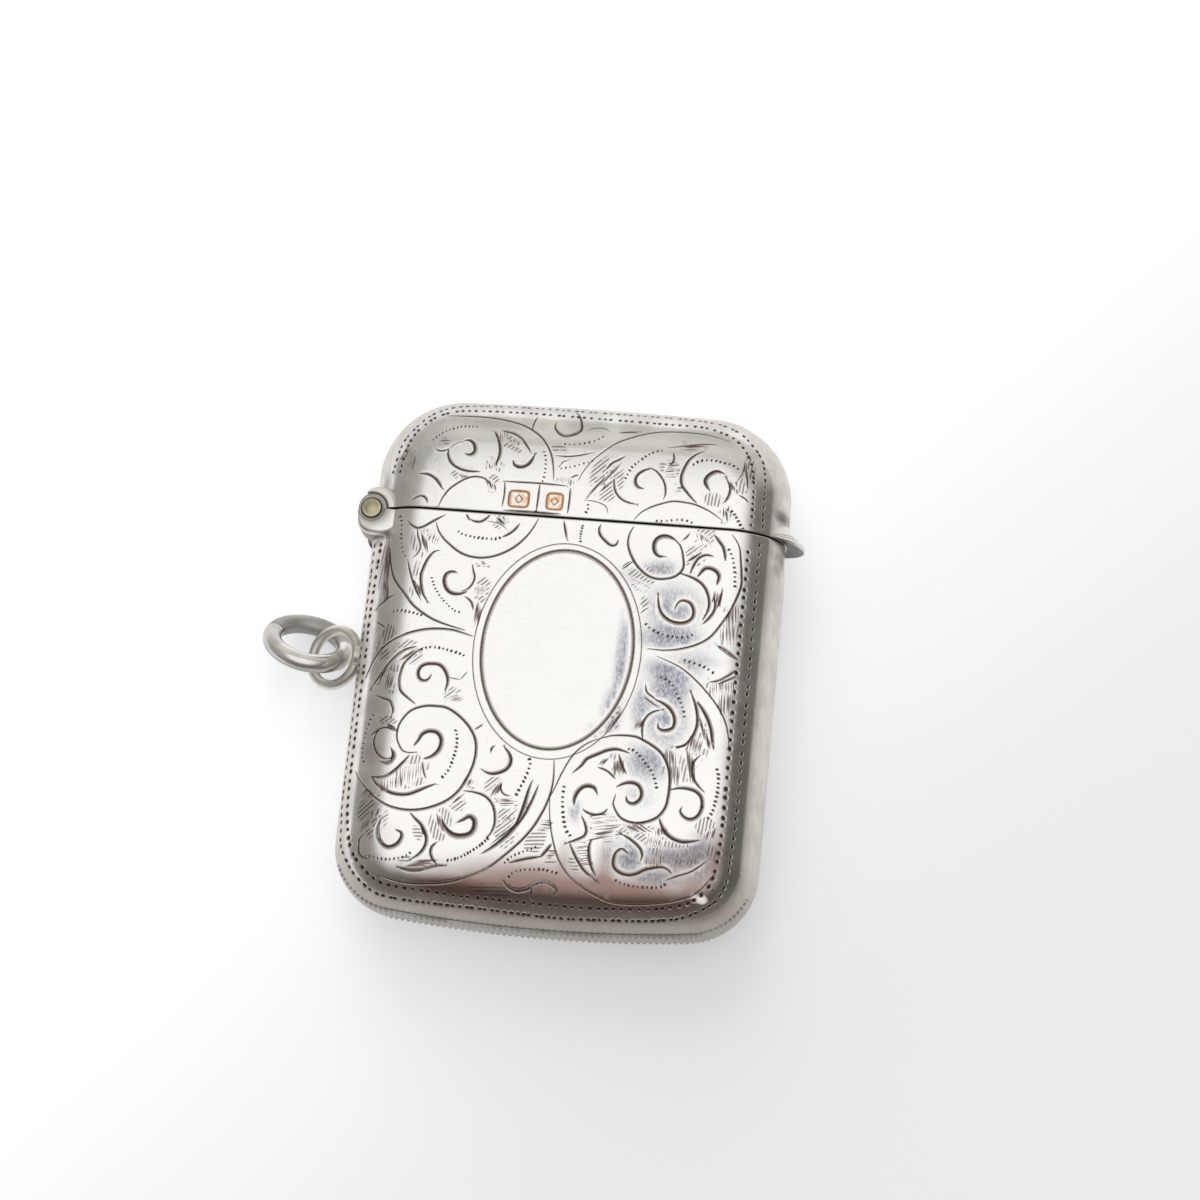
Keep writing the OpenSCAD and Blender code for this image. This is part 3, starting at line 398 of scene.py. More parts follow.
# cuts in millimetres. broad widens the strokes, fade is how far off centre their deep line lies, foot is the
# width of the burr beside a cut and least the metal left under the deepest one.
cutSizes = {
    "strokeStep": .17, "broad": 1.4, "foot": .05, "depth": .05, "burr": .012, "fade": .45, "least": .008,
    "ends": .3, "belly": 1.35, "bellyPower": .7, "fullDepth": .15, "fullBurr": .06, "strokeReach": .9,
    "shadeWidth": .125, "shadeDepth": .016, "shadeCut": .95, "shadeTaper": .3, "shadeReach": .12,
    "ovalCut": .82, "ovalPoints": 240, "rowStep": .05, "beadLong": 1.75, "punchRings": (.55, 1, 1.28),
    "punchPoints": 9, "punchPower": .6, "punchLip": .28, "lipFrom": .1, "punchReach": .4,
    "gridStep": .42, "rimStep": .36, "fieldInset": 2.9, "mouthGap": .3, "mouthEase": .09, "mouthRow": .2,
    "mouthStep": .3, "sink": .02, "far": 2.0, "hazeAndReflectionGap": .13, "hatchGap": .1,
}

# random changes, least and most: place, start, length and bend of a shading line, size and slant of a bead,
# place, size and turn of a border punch
jitter = {
    "shadePlace": (-.25, .25), "shadeStart": (-.04, .04), "shadeLength": (.72, 1.15), "shadeBend": (-.02, .02),
    "beadSize": (.8, 1.15), "beadSlant": (-.5, .1),
    "rowPlace": (-2.2, 2.2), "rowSize": (.85, 1.15), "rowTurn": (-.2, .2),
}
pitchShares = (0, .28, .4, .62, .75, 1)  # places along a border row
rimRolls = (0, 5, 10, 15, 20, 25, 31, 37, 43, 50, 57, 64)  # degrees up the rounded edge
hatchTurns = {"upright": .12, "slanting": .82, "level": 1.5}  # radians


# Smooth curve through the points: on each span the Catmull-Rom blend of the four nearest points,
# then points a step apart along its length.
def smoothCurve(flat, step):
    p = np.array(flat, float).reshape(-1, 2)
    q = np.vstack([2 * p[0] - p[1], p, 2 * p[-1] - p[-2]])
    t = np.linspace(0, 1, 13)[None, :, None]
    a, b, c, d = q[:-3, None], q[1:-2, None], q[2:-1, None], q[3:, None]
    square, cube = 2 * a - 5 * b + 4 * c - d, 3 * b - a - 3 * c + d
    fine = .5 * (2 * b + (c - a) * t + square * t ** 2 + cube * t ** 3)
    fine = np.vstack([fine[:, :-1].reshape(-1, 2), p[-1:]])
    length = np.append(0, np.cumsum(np.hypot(*np.diff(fine, axis=0).T)))
    count = max(4, int(round(length[-1] / step)) + 1)
    at = np.linspace(0, length[-1], count)
    return np.stack([np.interp(at, length, fine[:, 0]), np.interp(at, length, fine[:, 1])], 1)


# Unit side vectors of a path: its direction turned a quarter turn left.
def sideways(path):
    along = np.gradient(path, axis=0)
    along /= np.hypot(along[:, 0], along[:, 1])[:, None] + 1e-12
    return np.stack([-along[:, 1], along[:, 0]], 1)


# Angle of the side vectors at chosen places of a path.
def sideTurn(path, at):
    side = sideways(path)[at]
    return np.arctan2(side[:, 1], side[:, 0])


# Ellipse about a centre, its first half axis turned by an angle.
def ellipse(cx, cy, rx, ry, turn, count):
    t = np.linspace(0, 2 * np.pi, count)
    c, s = math.cos(turn), math.sin(turn)
    return np.stack([rx * np.cos(t), ry * np.sin(t)], 1) @ np.array([[c, s], [-s, c]]) + [cx, cy]


# Centres of the outline's arcs: y of the bow, x and y of the corner.
def arcCentres(form):
    bowY, cx = form["halfLong"] - form["bow"], form["halfWide"] - form["corner"]
    return bowY, cx, bowY + math.sqrt((form["bow"] - form["corner"]) ** 2 - cx ** 2)


# Inset from the outline at x, y and the inward direction: from the straight side, from the bowed end,
# or in a corner the corner radius less the distance to the corner's centre.
def insetOf(x, y, form):
    ax, ay = np.abs(x), form["way"] * y
    bowY, cx, cy = arcCentres(form)
    endFar, cornerFar = np.hypot(ax, ay - bowY), np.hypot(ax - cx, ay - cy)
    side, end = form["halfWide"] - ax, form["bow"] - endFar
    inCorner = (ay > cy) & ((ax - cx) * (cy - bowY) - (ay - cy) * cx > 0)
    inset = np.where(inCorner, form["corner"] - cornerFar, np.minimum(side, end))
    gx = np.where(inCorner, -(ax - cx) / (cornerFar + 1e-9), np.where(side < end, -1, -ax / endFar))
    gy = np.where(inCorner, -(ay - cy) / (cornerFar + 1e-9), np.where(side < end, 0, -(ay - bowY) / endFar))
    return inset, gx * np.where(x < 0, -1, 1), gy * form["way"]


# Point and normal of the cushion over x, y: a quarter round of radius R climbs from the side line,
# cos(roll) = (R - inset) / R, and the face is flat further in.
def cushion(x, y, form):
    big = form["halfThick"]
    inset, gx, gy = insetOf(x, y, form)
    c = np.clip((big - inset) / big, 0, 1)
    s = np.sqrt(1 - c * c)
    point = np.stack([x, y, big + big * s], 1)
    return point, np.stack([-gx * c, -gy * c, s], 1), inset


# Row of points along the outline at one inset, from the right of the mouth round the end to the left:
# straight side, corner arc, bow, and the same mirrored.
def outlineRow(form, inset, step):
    r, bow, way = form["corner"], form["bow"], form["way"]
    bowY, cx, cy = arcCentres(form)
    turn = math.asin(cx / (bow - r))
    mouth = form["mouth"] * way
    ys = np.linspace(mouth, cy, max(3, int((cy - mouth) / step)))[:-1]
    up = np.linspace(0, math.pi / 2 - turn, max(6, int(r * 1.5 / step)))[:-1]
    over = np.linspace(turn, 0, max(4, int(cx / step)))
    right = np.vstack([
        np.stack([np.full_like(ys, form["halfWide"] - inset), ys], 1),
        np.stack([cx + (r - inset) * np.cos(up), cy + (r - inset) * np.sin(up)], 1),
        np.stack([(bow - inset) * np.sin(over), bowY + (bow - inset) * np.cos(over)], 1)])
    row = np.vstack([right, right[-2::-1] * [-1, 1]])
    return row * [1, way]


# Nearest place of a path to each point: signed offset to the left of the path and the share along it.
def offsetFrom(path, pts):
    a, d = path[:-1], np.diff(path, axis=0)
    size = (d ** 2).sum(1) + 1e-12
    rel = pts[:, None] - a[None]
    t = np.clip((rel * d[None]).sum(2) / size[None], 0, 1)
    gap = rel - t[..., None] * d[None]
    far = (gap ** 2).sum(2)
    k = far.argmin(1)
    rows = np.arange(len(pts))
    cross = d[k, 0] * rel[rows, k, 1] - d[k, 1] * rel[rows, k, 0]
    return np.sqrt(far[rows, k]) * np.where(cross < 0, -1, 1), (k + t[rows, k]) / (len(path) - 1)


# Half width of a stroke along its share t: quick entry, long belly, tapered exit. A closed line stays even.
def swell(half, t, closed):
    ends = cutSizes["ends"]
    bulge = np.clip(np.sin(np.pi * np.clip(t, 0, 1)) * cutSizes["belly"], 0, 1) ** cutSizes["bellyPower"]
    return half * (np.ones(len(t)) if closed else ends + (1 - ends) * bulge)


# All cuts of a design: strokes, ovals and stamp lines as (path, half width, closed, strength),
# shading lines as paths, punches as (x, y, long, short, turn).
def planCuts(design, seed):
    rng = np.random.default_rng(seed)

    def drawn(key, *shape):
        return rng.uniform(*jitter[key], shape)

    step, broad = cutSizes["strokeStep"], cutSizes["broad"]
    strokes = [(smoothCurve(s[1:], step), s[0] / 2 * broad, False, 1.0) for s in design["strokes"]]
    for cx, cy, rx, ry, lean, width in design["ovals"]:
        oval = ellipse(cx, cy, rx, ry, math.radians(lean), cutSizes["ovalPoints"])
        strokes.append((oval, width / 2, True, cutSizes["ovalCut"]))
    rx, ry = stampSizes["lozenge"]
    lozenge = np.array([[rx, 0], [0, ry], [-rx, 0], [0, -ry], [rx, 0]])
    for cx, cy, wide, tall in design["stamps"]:
        around = ellipse(0, 0, 1, 1, 0, stampSizes["points"])
        border = [wide, tall] * np.sign(around) * np.abs(around) ** stampSizes["square"] * stampSizes["share"]
        strokes.append((border + [cx, cy], stampSizes["frameLine"], True, 1.0))
        strokes.append((lozenge + [cx, cy], stampSizes["fineLine"], True, 1.0))
    shades = []
    for n, ax, ay, bx, by, vx, vy in design["shading"]:
        t = np.linspace(0, 1, n) + drawn("shadePlace", n) / n
        start = np.stack([ax + (bx - ax) * t, ay + (by - ay) * t], 1) + drawn("shadeStart", n, 2)
        end = start + np.array([vx, vy]) * drawn("shadeLength", n, 1)
        bend = (start + end) / 2 + drawn("shadeBend", n, 2)
        shades += [np.stack([s, m, e]) for s, m, e in zip(start, bend, end)]
    punches = []
    for n, r, *flat in design["beads"]:
        path = smoothCurve(flat, cutSizes["rowStep"])
        at = np.linspace(0, len(path) - 1, n).round().astype(int)
        grow = drawn("beadSize", n)
        slant = sideTurn(path, at) + drawn("beadSlant", n)
        punches.append(np.column_stack([path[at], cutSizes["beadLong"] * r * grow, r * grow, slant]))
    for key in ("outerRow", "innerRow"):
        short, long, *flat = design[key]
        path = smoothCurve(flat, cutSizes["rowStep"])
        pitch = np.interp(np.linspace(0, 1, len(path)), pitchShares, design[key + "Pitch"])
        count = np.cumsum(cutSizes["rowStep"] / pitch)
        n = int(count[-1])
        at = np.interp(np.arange(n) + .5, count, np.arange(len(path))) + drawn("rowPlace", n)
        at = np.clip(at, 0, len(path) - 1).astype(int)
        grow = drawn("rowSize", n)
        turn = sideTurn(path, at) + np.pi / 2 + drawn("rowTurn", n)
        punches.append(np.column_stack([path[at], long * grow, short * grow, turn]))
    return strokes, shades, np.vstack(punches)


# Plan points and forced edges of a plate: rows round the outline, a field grid, five rows along each stroke
# (foot, edge, deep line, edge, foot), three along each shading line and rings round each punch.
def plateMesh(form, strokes, shades, punches):
    pts, edges = [], []

    def addRows(*rows, closed=False):
        for row in rows:
            start = sum(len(p) for p in pts)
            pts.append(row)
            ring = np.arange(start, start + len(row))
            pair = np.stack([ring, np.roll(ring, -1)], 1)
            edges.append(pair if closed else pair[:-1])

    for roll in rimRolls:
        addRows(outlineRow(form, form["halfThick"] * (1 - math.cos(math.radians(roll))), cutSizes["rimStep"]))
    y0, y1 = sorted((form["mouth"], form["way"] * form["halfLong"]))
    wide, step = form["halfWide"], cutSizes["gridStep"]
    gx, gy = np.meshgrid(np.arange(-wide, wide, step), np.arange(y0, y1, step))
    field = np.stack([gx.ravel(), gy.ravel()], 1)
    inset = insetOf(field[:, 0], field[:, 1], form)[0]
    clear = np.abs(field[:, 1] - form["mouth"]) > cutSizes["mouthGap"]
    pts.append(field[(inset > cutSizes["fieldInset"]) & clear])
    xs = np.arange(-wide + .2, wide - .1, cutSizes["mouthStep"])
    for fromMouth in (cutSizes["mouthEase"], cutSizes["mouthRow"]):
        addRows(np.stack([xs, np.full_like(xs, form["mouth"] + form["way"] * fromMouth)], 1))
    for path, half, closed, _ in strokes:
        side = sideways(path)
        w = swell(half, np.linspace(0, 1, len(path)), closed)[:, None]
        foot, deep = side * (w + cutSizes["foot"]), side * (w * cutSizes["fade"])
        addRows(path + foot, path + side * w, path - deep, path - side * w, path - foot)
    taper = np.array([[cutSizes["shadeTaper"]], [1], [cutSizes["shadeTaper"]]])
    for path in shades:
        side = sideways(path) * cutSizes["shadeWidth"] / 2 * taper
        addRows(path + side, path, path - side)
    for x, y, long, short, turn in punches:
        for grow in cutSizes["punchRings"]:
            ring = ellipse(x, y, long * grow, short * grow, turn, cutSizes["punchPoints"])
            addRows(ring[:-1], closed=True)
        pts.append(np.array([[x, y]]))
    allPts, allEdges = np.vstack(pts), np.vstack(edges)
    inset = insetOf(allPts[:, 0], allPts[:, 1], form)[0]
    inside = (inset > -1e-6) & (form["way"] * (allPts[:, 1] - form["mouth"]) > -1e-6)
    kept = np.cumsum(inside) - 1
    allEdges = kept[allEdges[inside[allEdges].all(1)]]
    corners = [Vector(p) for p in allPts[inside].tolist()]
    made = delaunay_2d_cdt(corners, allEdges.tolist(), [], 0, 1e-5, False)
    plan = np.array([tuple(v) for v in made[0]])
    tris = np.array([f for f in made[2] if len(f) == 3])
    a, b, c = plan[tris[:, 0]], plan[tris[:, 1]], plan[tris[:, 2]]
    area = (b[:, 0] - a[:, 0]) * (c[:, 1] - a[:, 1]) - (b[:, 1] - a[:, 1]) * (c[:, 0] - a[:, 0])
    return plan, tris[area > 1e-7]


# How far each plan point is cut (0 to 1), the raised burr beside the cuts, the depth, and the distances
# to the nearest line of any kind and to the nearest stroke. Across a stroke the cut falls straight from
# its edge to the deep line, which lies off centre; a punch is a bowl.
def cutField(plan, strokes, shades, punches):
    cut, burr, depth = np.zeros((3, len(plan)))
    away, free = np.full((2, len(plan)), cutSizes["far"])
    fade, foot, shadeHalf = cutSizes["fade"], cutSizes["foot"], cutSizes["shadeWidth"] / 2

    def spread(path, half, level, deep, closed, reach):
        for k in range(0, len(path) - 1, 20):
            part = path[k:k + 21]
            near = np.flatnonzero(((plan > part.min(0) - reach) & (plan < part.max(0) + reach)).all(1))
            if not len(near):
                continue
            off, t = offsetFrom(part, plan[near])
            w = swell(half, (k + t * (len(part) - 1)) / (len(path) - 1), closed)
            v = off / w
            slope = np.clip(np.where(v > -fade, (1 - v) / (1 + fade), (1 + v) / (1 - fade)), 0, 1)
            cut[near] = np.maximum(cut[near], slope * level)
            depth[near] = np.maximum(depth[near], slope * deep * np.sqrt(w / cutSizes["fullDepth"]))
            lip = np.clip(1 - np.abs(np.abs(off) - w) / foot, 0, 1)
            burr[near] = np.maximum(burr[near], lip * cutSizes["burr"] * min(1, half / cutSizes["fullBurr"]))
            gap = np.maximum(np.abs(off) - w, 0)
            away[near] = np.minimum(away[near], gap)
            if half > shadeHalf:
                free[near] = np.minimum(free[near], gap)

    for path, half, closed, level in strokes:
        spread(path, half, level, cutSizes["depth"], closed, cutSizes["strokeReach"])
    for path in shades:
        spread(path, shadeHalf, cutSizes["shadeCut"], cutSizes["shadeDepth"], False, cutSizes["shadeReach"])
    for x, y, long, short, turn in punches:
        near = np.flatnonzero((np.abs(plan - [x, y]) < cutSizes["punchReach"]).all(1))
        c, s = math.cos(turn), math.sin(turn)
        rel = plan[near] - [x, y]
        e = np.hypot((rel[:, 0] * c + rel[:, 1] * s) / long, (rel[:, 1] * c - rel[:, 0] * s) / short)
        own = np.clip(1 - e ** 2, 0, 1)
        cut[near] = np.maximum(cut[near], own ** cutSizes["punchPower"])
        depth[near] = np.maximum(depth[near], own * cutSizes["depth"])
        lip = np.clip(1 - np.abs(e - 1) / cutSizes["punchLip"], 0, 1) * (short > cutSizes["lipFrom"])
        burr[near] = np.maximum(burr[near], lip * cutSizes["burr"])
    return cut, burr, np.clip(depth, 0, caseForm["lift"] - cutSizes["least"]), away, free


# Sum of soft round patches, each falling off as exp(-distance cubed).
def patches(plan, blobs):
    total = np.zeros(len(plan))
    for x, y, rx, ry, strength in blobs:
        total += strength * np.exp(-(((plan[:, 0] - x) / rx) ** 2 + ((plan[:, 1] - y) / ry) ** 2) ** 1.5)
    return np.clip(total, 0, 1)


# Thumbnail scoop: points inside a ball beside the right mouth corner move in to its surface, as far as deep.
scoopBall = {"x": 23.2, "y": 11.0, "z": 4.8, "r": 6.0, "deep": 16.0, "near": 16.2}


def scooped(p):
    left = scoopBall["r"] ** 2 - (p[:, 1] - scoopBall["y"]) ** 2 - (p[:, 2] - scoopBall["z"]) ** 2
    wall = scoopBall["x"] - np.sqrt(np.clip(left, 0, None))
    p[:, 0] = np.where(left > 0, np.minimum(p[:, 0], np.maximum(wall, scoopBall["deep"])), p[:, 0])
    return p


# Mesh object that rides a body and may replace a CAD node, from points in millimetres, faces,
# float attributes and optional vertex normals.
def makePiece(name, body, points, faces, replaced=None, attributes=None, normals=None, smooth=True):
    mesh = bpy.data.meshes.new(name)
    mesh.from_pydata((points * mm).tolist(), [], faces if isinstance(faces, list) else faces.tolist())
    mesh.polygons.foreach_set("use_smooth", np.full(len(mesh.polygons), smooth))
    for key, values in (attributes or {}).items():
        layer = mesh.attributes.new(key, "FLOAT", "POINT")
        layer.data.foreach_set("value", np.asarray(values, np.float32))
    if normals is not None:
        mesh.normals_split_custom_set_from_vertices(normals.tolist())
    piece = bpy.data.objects.new(name, mesh)
    bpy.context.scene.collection.objects.link(piece)
    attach(piece, body)
    if replaced:
        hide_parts(replaced)
    return piece


# Average of the face normals round each vertex, weighted by area.
def faceNormals(points, tris):
    n = np.cross(points[tris[:, 1]] - points[tris[:, 0]], points[tris[:, 2]] - points[tris[:, 0]])
    total = np.zeros_like(points)
    for k in range(3):
        np.add.at(total, tris[:, k], n)
    return total / (np.linalg.norm(total, axis=1)[:, None] + 1e-15)


# Slight crown of the worn face: the normals lean out by a power of the way to the end and to the hinge side.
def crownLean(plan, inset, form):
    x, y = plan[:, 0], form["way"] * plan[:, 1]
    flat = np.clip(inset / form["halfThick"], 0, 1)
    side = -form["sideLean"] * np.clip((-x - form["sideFrom"]) / form["sideOver"], 0, 1) ** 1.5
    end = form["way"] * form["endLean"] * np.clip((y - form["endFrom"]) / form["endOver"], 0, 1) ** 1.3
    return np.stack([side * flat, end * flat, 0 * x], 1)


# Hinge pin: place, radius, hole, lug top, bottom and rounding, and the room the plates leave about it.
pin = {"x": -17.3, "y": 11.6, "r": 0.8, "hole": 0.84, "top": 8.9, "low": 6.2, "round": 0.42, "clear": 1.2}


# Engraved plate over one half: cushion point + normal x (lift + burr - depth), eased down at the mouth edge.
# The back plate is the front one turned half a turn about the long axis.
def engravedPlate(name, body, form, design, seed, back):
    cuts = planCuts(design, seed)
    plan, tris = plateMesh(form, *cuts)
    fromPin = np.hypot(np.abs(plan[:, 0]) + pin["x"], plan[:, 1] - pin["y"])
    hinged = (fromPin < pin["clear"]) & ((plan[:, 0] < 0) != back)
    tris = tris[~hinged[tris].any(1)]
    cut, burr, depth, away, free = cutField(plan, *cuts)
    point, normal, inset = cushion(plan[:, 0], plan[:, 1], form)
    fromMouth = np.clip(form["way"] * (plan[:, 1] - form["mouth"]) / cutSizes["mouthEase"], 0, 1)
    lift = -cutSizes["sink"] + (form["lift"] + cutSizes["sink"]) * fromMouth
    point = point + normal * (lift + (burr - depth) * fromMouth)[:, None]
    facing = -1 if back else 1
    if back:
        point = point * [-1, 1, -1] + [0, 0, 2 * form["halfThick"]]
        normal = normal * [-1, 1, -1]
    point = scooped(point)
    normals = faceNormals(point, tris)
    plain = (cut < 1e-4) & (burr < 1e-5) & (fromMouth > .999) & (point[:, 0] < scoopBall["near"])
    normals[plain] = normal[plain]
    normals = normals + crownLean(plan, inset, form) * (facing, 1, 1)
    dented = patches(plan, design["dents"])
    normals = normals * (1 - dented)[:, None] + dented[:, None] * [0, 0, facing]
    normals /= np.linalg.norm(normals, axis=1)[:, None]
    stamped = np.zeros(len(plan))
    for cx, cy, wide, tall in design["stamps"]:
        fromStamp = np.maximum(np.abs(plan[:, 0] - cx) / wide, np.abs(plan[:, 1] - cy) / tall)
        stamped[fromStamp < stampSizes["fill"]] = 1
    attributes = {"cut": cut, "inset": inset, "copper": stamped, "grimeAndShade": patches(plan, design["grimeAndShade"])}
    # bloom patches, partly tarnish and partly painted reflection, cleared beside the strokes so bright painted
    # rims run along them
    attributes["hazeAndReflection"] = patches(plan, design["hazeAndReflection"]) * (1 - np.exp(-(free / cutSizes["hazeAndReflectionGap"]) ** 2))
    # painted warm reflection, left off the dents
    attributes["warmReflection"] = patches(plan, design["warmReflection"]) * (1 - dented)
    for key in hatchTurns:
        attributes[key] = patches(plan, design[key]) * (1 - np.exp(-(away / cutSizes["hatchGap"]) ** 2))
    print(name, len(tris), "triangles")
    return makePiece(name, body, point, tris, None, attributes, normals)


halves = (("body", "case", bodyForm, bodyDesign), ("lid", "lid", lidForm, lidDesign))
firstSeed = 11
plates = []
for end in ("front", "back"):
    for part, body, form, design in halves:
        name = part + "_engraving_" + end
        plates.append(engravedPlate(name, body, form, design, firstSeed + len(plates), end == "back"))


# Faces of a grid of rows, wrapped round in either direction where it closes.
def gridFaces(rows, around, closeRows=False, closeAround=True):
    i = np.arange(rows if closeRows else rows - 1)[:, None]
    j = np.arange(around if closeAround else around - 1)[None]
    i2, j2 = (i + 1) % rows, (j + 1) % around
    return np.stack([i * around + j, i * around + j2, i2 * around + j2, i2 * around + j], -1).reshape(-1, 4)


# Row of points about the pin: radius, turns and height.
def aboutPin(r, a, z):
    return np.stack([pin["x"] + r * np.cos(a), pin["y"] + r * np.sin(a), z + 0 * a], 1)


# A piece of the case and its twin mirrored in the middle plane.
def frontAndBack(name, points, faces, replaced=None):
    mirrored = points * [1, 1, -1] + [0, 0, 2 * caseForm["halfThick"]]
    made = []
    for end, place, turned in (("front", points, faces), ("back", mirrored, faces[:, ::-1])):
        made.append(makePiece(name + "_" + end, "case", place, turned, replaced and replaced + end))
    return made


# Hinge lug: at each turn about the pin the outline's reach, rounded over at the top edge by a quarter circle,
# with the pin hole in the middle. The step at turn 0 is the mouth line.
lugReach = {0: 2.4, 15: 2.6, 35: 2.75, 58: 2.5, 80: 2.2, 97: 2.1, 116: 1.95, 134: 1.55, 146: 1.3, 170: 1.12,
            195: 1.1, 215: 1.15, 240: 1.25, 265: 1.3, 360: 1.3}
lug = {"chamfer": .05, "roundFrom": .9, "roundOver": 1.1, "roundLeast": .2}


def lugGrid():
    turn = np.append(np.linspace(0, 359.6, 97), 360)
    reach = np.interp(turn, list(lugReach), list(lugReach.values()))
    hole, top, low = pin["hole"], pin["top"], pin["low"]
    rows = [(hole, low), (hole, top - lug["chamfer"]), (hole + lug["chamfer"], top)]
    edge = pin["round"] * np.clip((reach - lug["roundFrom"]) / lug["roundOver"], lug["roundLeast"], 1)
    for over in np.radians([0, 22, 45, 67, 90]):
        rows.append((reach - edge * (1 - math.sin(over)), top - edge * (1 - math.cos(over))))
    rows.append((reach, low))
    grid = [aboutPin(r, -np.radians(turn), z) for r, z in rows]
    return np.vstack(grid), gridFaces(len(rows), len(turn), closeRows=True)


# Pin head: low dome, height falling with the square of the radius, and a short skirt.
pinHead = {"proud": .02, "dome": .2, "skirt": .4, "radii": (1e-4, .2, .4, .6, .72, .79, .8, .8)}


def pinHeadGrid():
    a = np.linspace(0, 2 * np.pi, 49)[:-1]
    radii = np.array(pinHead["radii"])
    tops = pin["top"] + pinHead["proud"] + pinHead["dome"] * (1 - (radii / pin["r"]) ** 2)
    tops[-1] = pin["top"] - pinHead["skirt"]
    grid = [aboutPin(r, a, z) for r, z in zip(radii, tops)]
    return np.vstack(grid), gridFaces(len(radii), len(a))[:, ::-1]


lugs = frontAndBack("hinge_barrel", *lugGrid(), "hinge_lug_")
pinHeads = frontAndBack("pin_head", *pinHeadGrid())


# Lid hinge: a barrel between the lugs, and a hood whose closed section (shares of the way out and of the
# height) sweeps round the pin and narrows to a tip.
hood = {"inner": 1.37, "outer": 2.34, "tip": 1.5, "turn": 112.0, "start": 5.5, "narrowing": 62.0, "over": .04,
        "barrel": 1.3, "barrelHalf": 1.35,
        "section": [(0, .965), (.12, 1), (.55, 1), (.82, .97), (.95, .915), (1, .84)]}


def hoodGrid():
    sweep = np.radians(np.linspace(hood["start"], hood["turn"], 33))
    grow = np.clip((np.radians(hood["turn"]) - sweep) / np.radians(hood["narrowing"]), 0, 1) ** .7
    outer = hood["tip"] + (hood["outer"] - hood["tip"]) * grow
    mid, rise = caseForm["halfThick"], pin["top"] - caseForm["halfThick"] + hood["over"]
    section = hood["section"] + [(q, -h) for q, h in hood["section"][::-1]]
    grid = [aboutPin(hood["inner"] + (outer - hood["inner"]) * q, sweep, mid + rise * h) for q, h in section]
    n = len(sweep)
    faces = gridFaces(len(section), n, closeRows=True, closeAround=False).tolist()
    ends = [[k * n + e for k in range(len(section))] for e in (0, n - 1)]
    faces += [ends[0], ends[1][::-1]]
    a = np.linspace(0, 2 * np.pi, 49)[:-1]
    half = hood["barrelHalf"]
    for r, z in ((pin["hole"], -half), (pin["hole"], half), (hood["barrel"], half), (hood["barrel"], -half)):
        grid.append(aboutPin(r, a, mid + z))
    faces += (gridFaces(4, len(a), closeRows=True)[:, ::-1] + len(section) * n).tolist()
    return np.vstack(grid), faces


hoodPiece = makePiece("hinge_hood", "lid", *hoodGrid(), "lid_knuckle", smooth=False)


# Thumb lip: half-moon ledge on the lid's side. Across the depth its reach and rise follow powers of
# 1 - u squared; from the wall to the tip it sweeps out as v to the power 2.2, with two fine grooves,
# and returns flat below.
lip = {"half": 3.4, "reach": 1.45, "rise": 1.75, "edge": 0.42, "droop": 0.38, "groove": 0.09,
       "grooveAt": (.72, .87), "grooveWide": .025, "grooveDark": .9, "grooveShare": .6, "sweep": 2.2,
       "wallX": 12.68, "wallR": 4.82, "bury": .02, "seat": .05, "under": .45, "hollow": .1, "back": .25,
       "tipRows": ((.06, .18), (.02, .36), (-.06, .42), (-.1, .41)), "underShade": [0, 0, .3, .9, 1, 1]}


def lipGrid():
    u = np.linspace(-1, 1, 49)
    z = caseForm["halfThick"] + lip["half"] * u
    bulge = np.sqrt(lip["wallR"] ** 2 - (z - caseForm["halfThick"]) ** 2)
    wall = lip["wallX"] + bulge + caseForm["lift"] - lip["bury"]
    full = np.clip(1 - u ** 2, 0, 1)
    reach, rise = lip["reach"] * full ** .75, lip["rise"] * full ** .5
    base = lidForm["mouth"] + lip["seat"]
    rows, grimeAndShade = [], []
    for v in np.linspace(0, 1, 41):
        dip = sum(math.exp(-((v - at) / lip["grooveWide"]) ** 2) for at in lip["grooveAt"])
        groove = lip["groove"] * dip * full * lip["grooveShare"]
        grimeAndShade.append(dip * lip["grooveDark"])
        y = base + rise * (1 - v) + full * (lip["edge"] * v - lip["droop"] * v ** 3)
        rows.append(np.stack([wall + reach * v ** lip["sweep"] - groove, y - groove, z], 1))
    tip = rows[-1]
    for out, drop in lip["tipRows"]:
        rows.append(tip + np.stack([out * full, -drop * full, 0 * u], 1))
    rows.append(np.stack([wall + reach * lip["under"], base - lip["hollow"] * full, z], 1))
    rows.append(np.stack([wall - lip["back"], base + 0 * u, z], 1))
    # painted shade under the ledge after the darkened grooves
    grimeAndShade += lip["underShade"]
    faces = gridFaces(len(rows), len(u), closeAround=False)[:, ::-1]
    return np.vstack(rows), faces, "thumbpiece", {"grimeAndShade": np.repeat(grimeAndShade, len(u))}


lipPiece = makePiece("thumb_lip", "lid", *lipGrid())
print("hinge and thumb lip done")


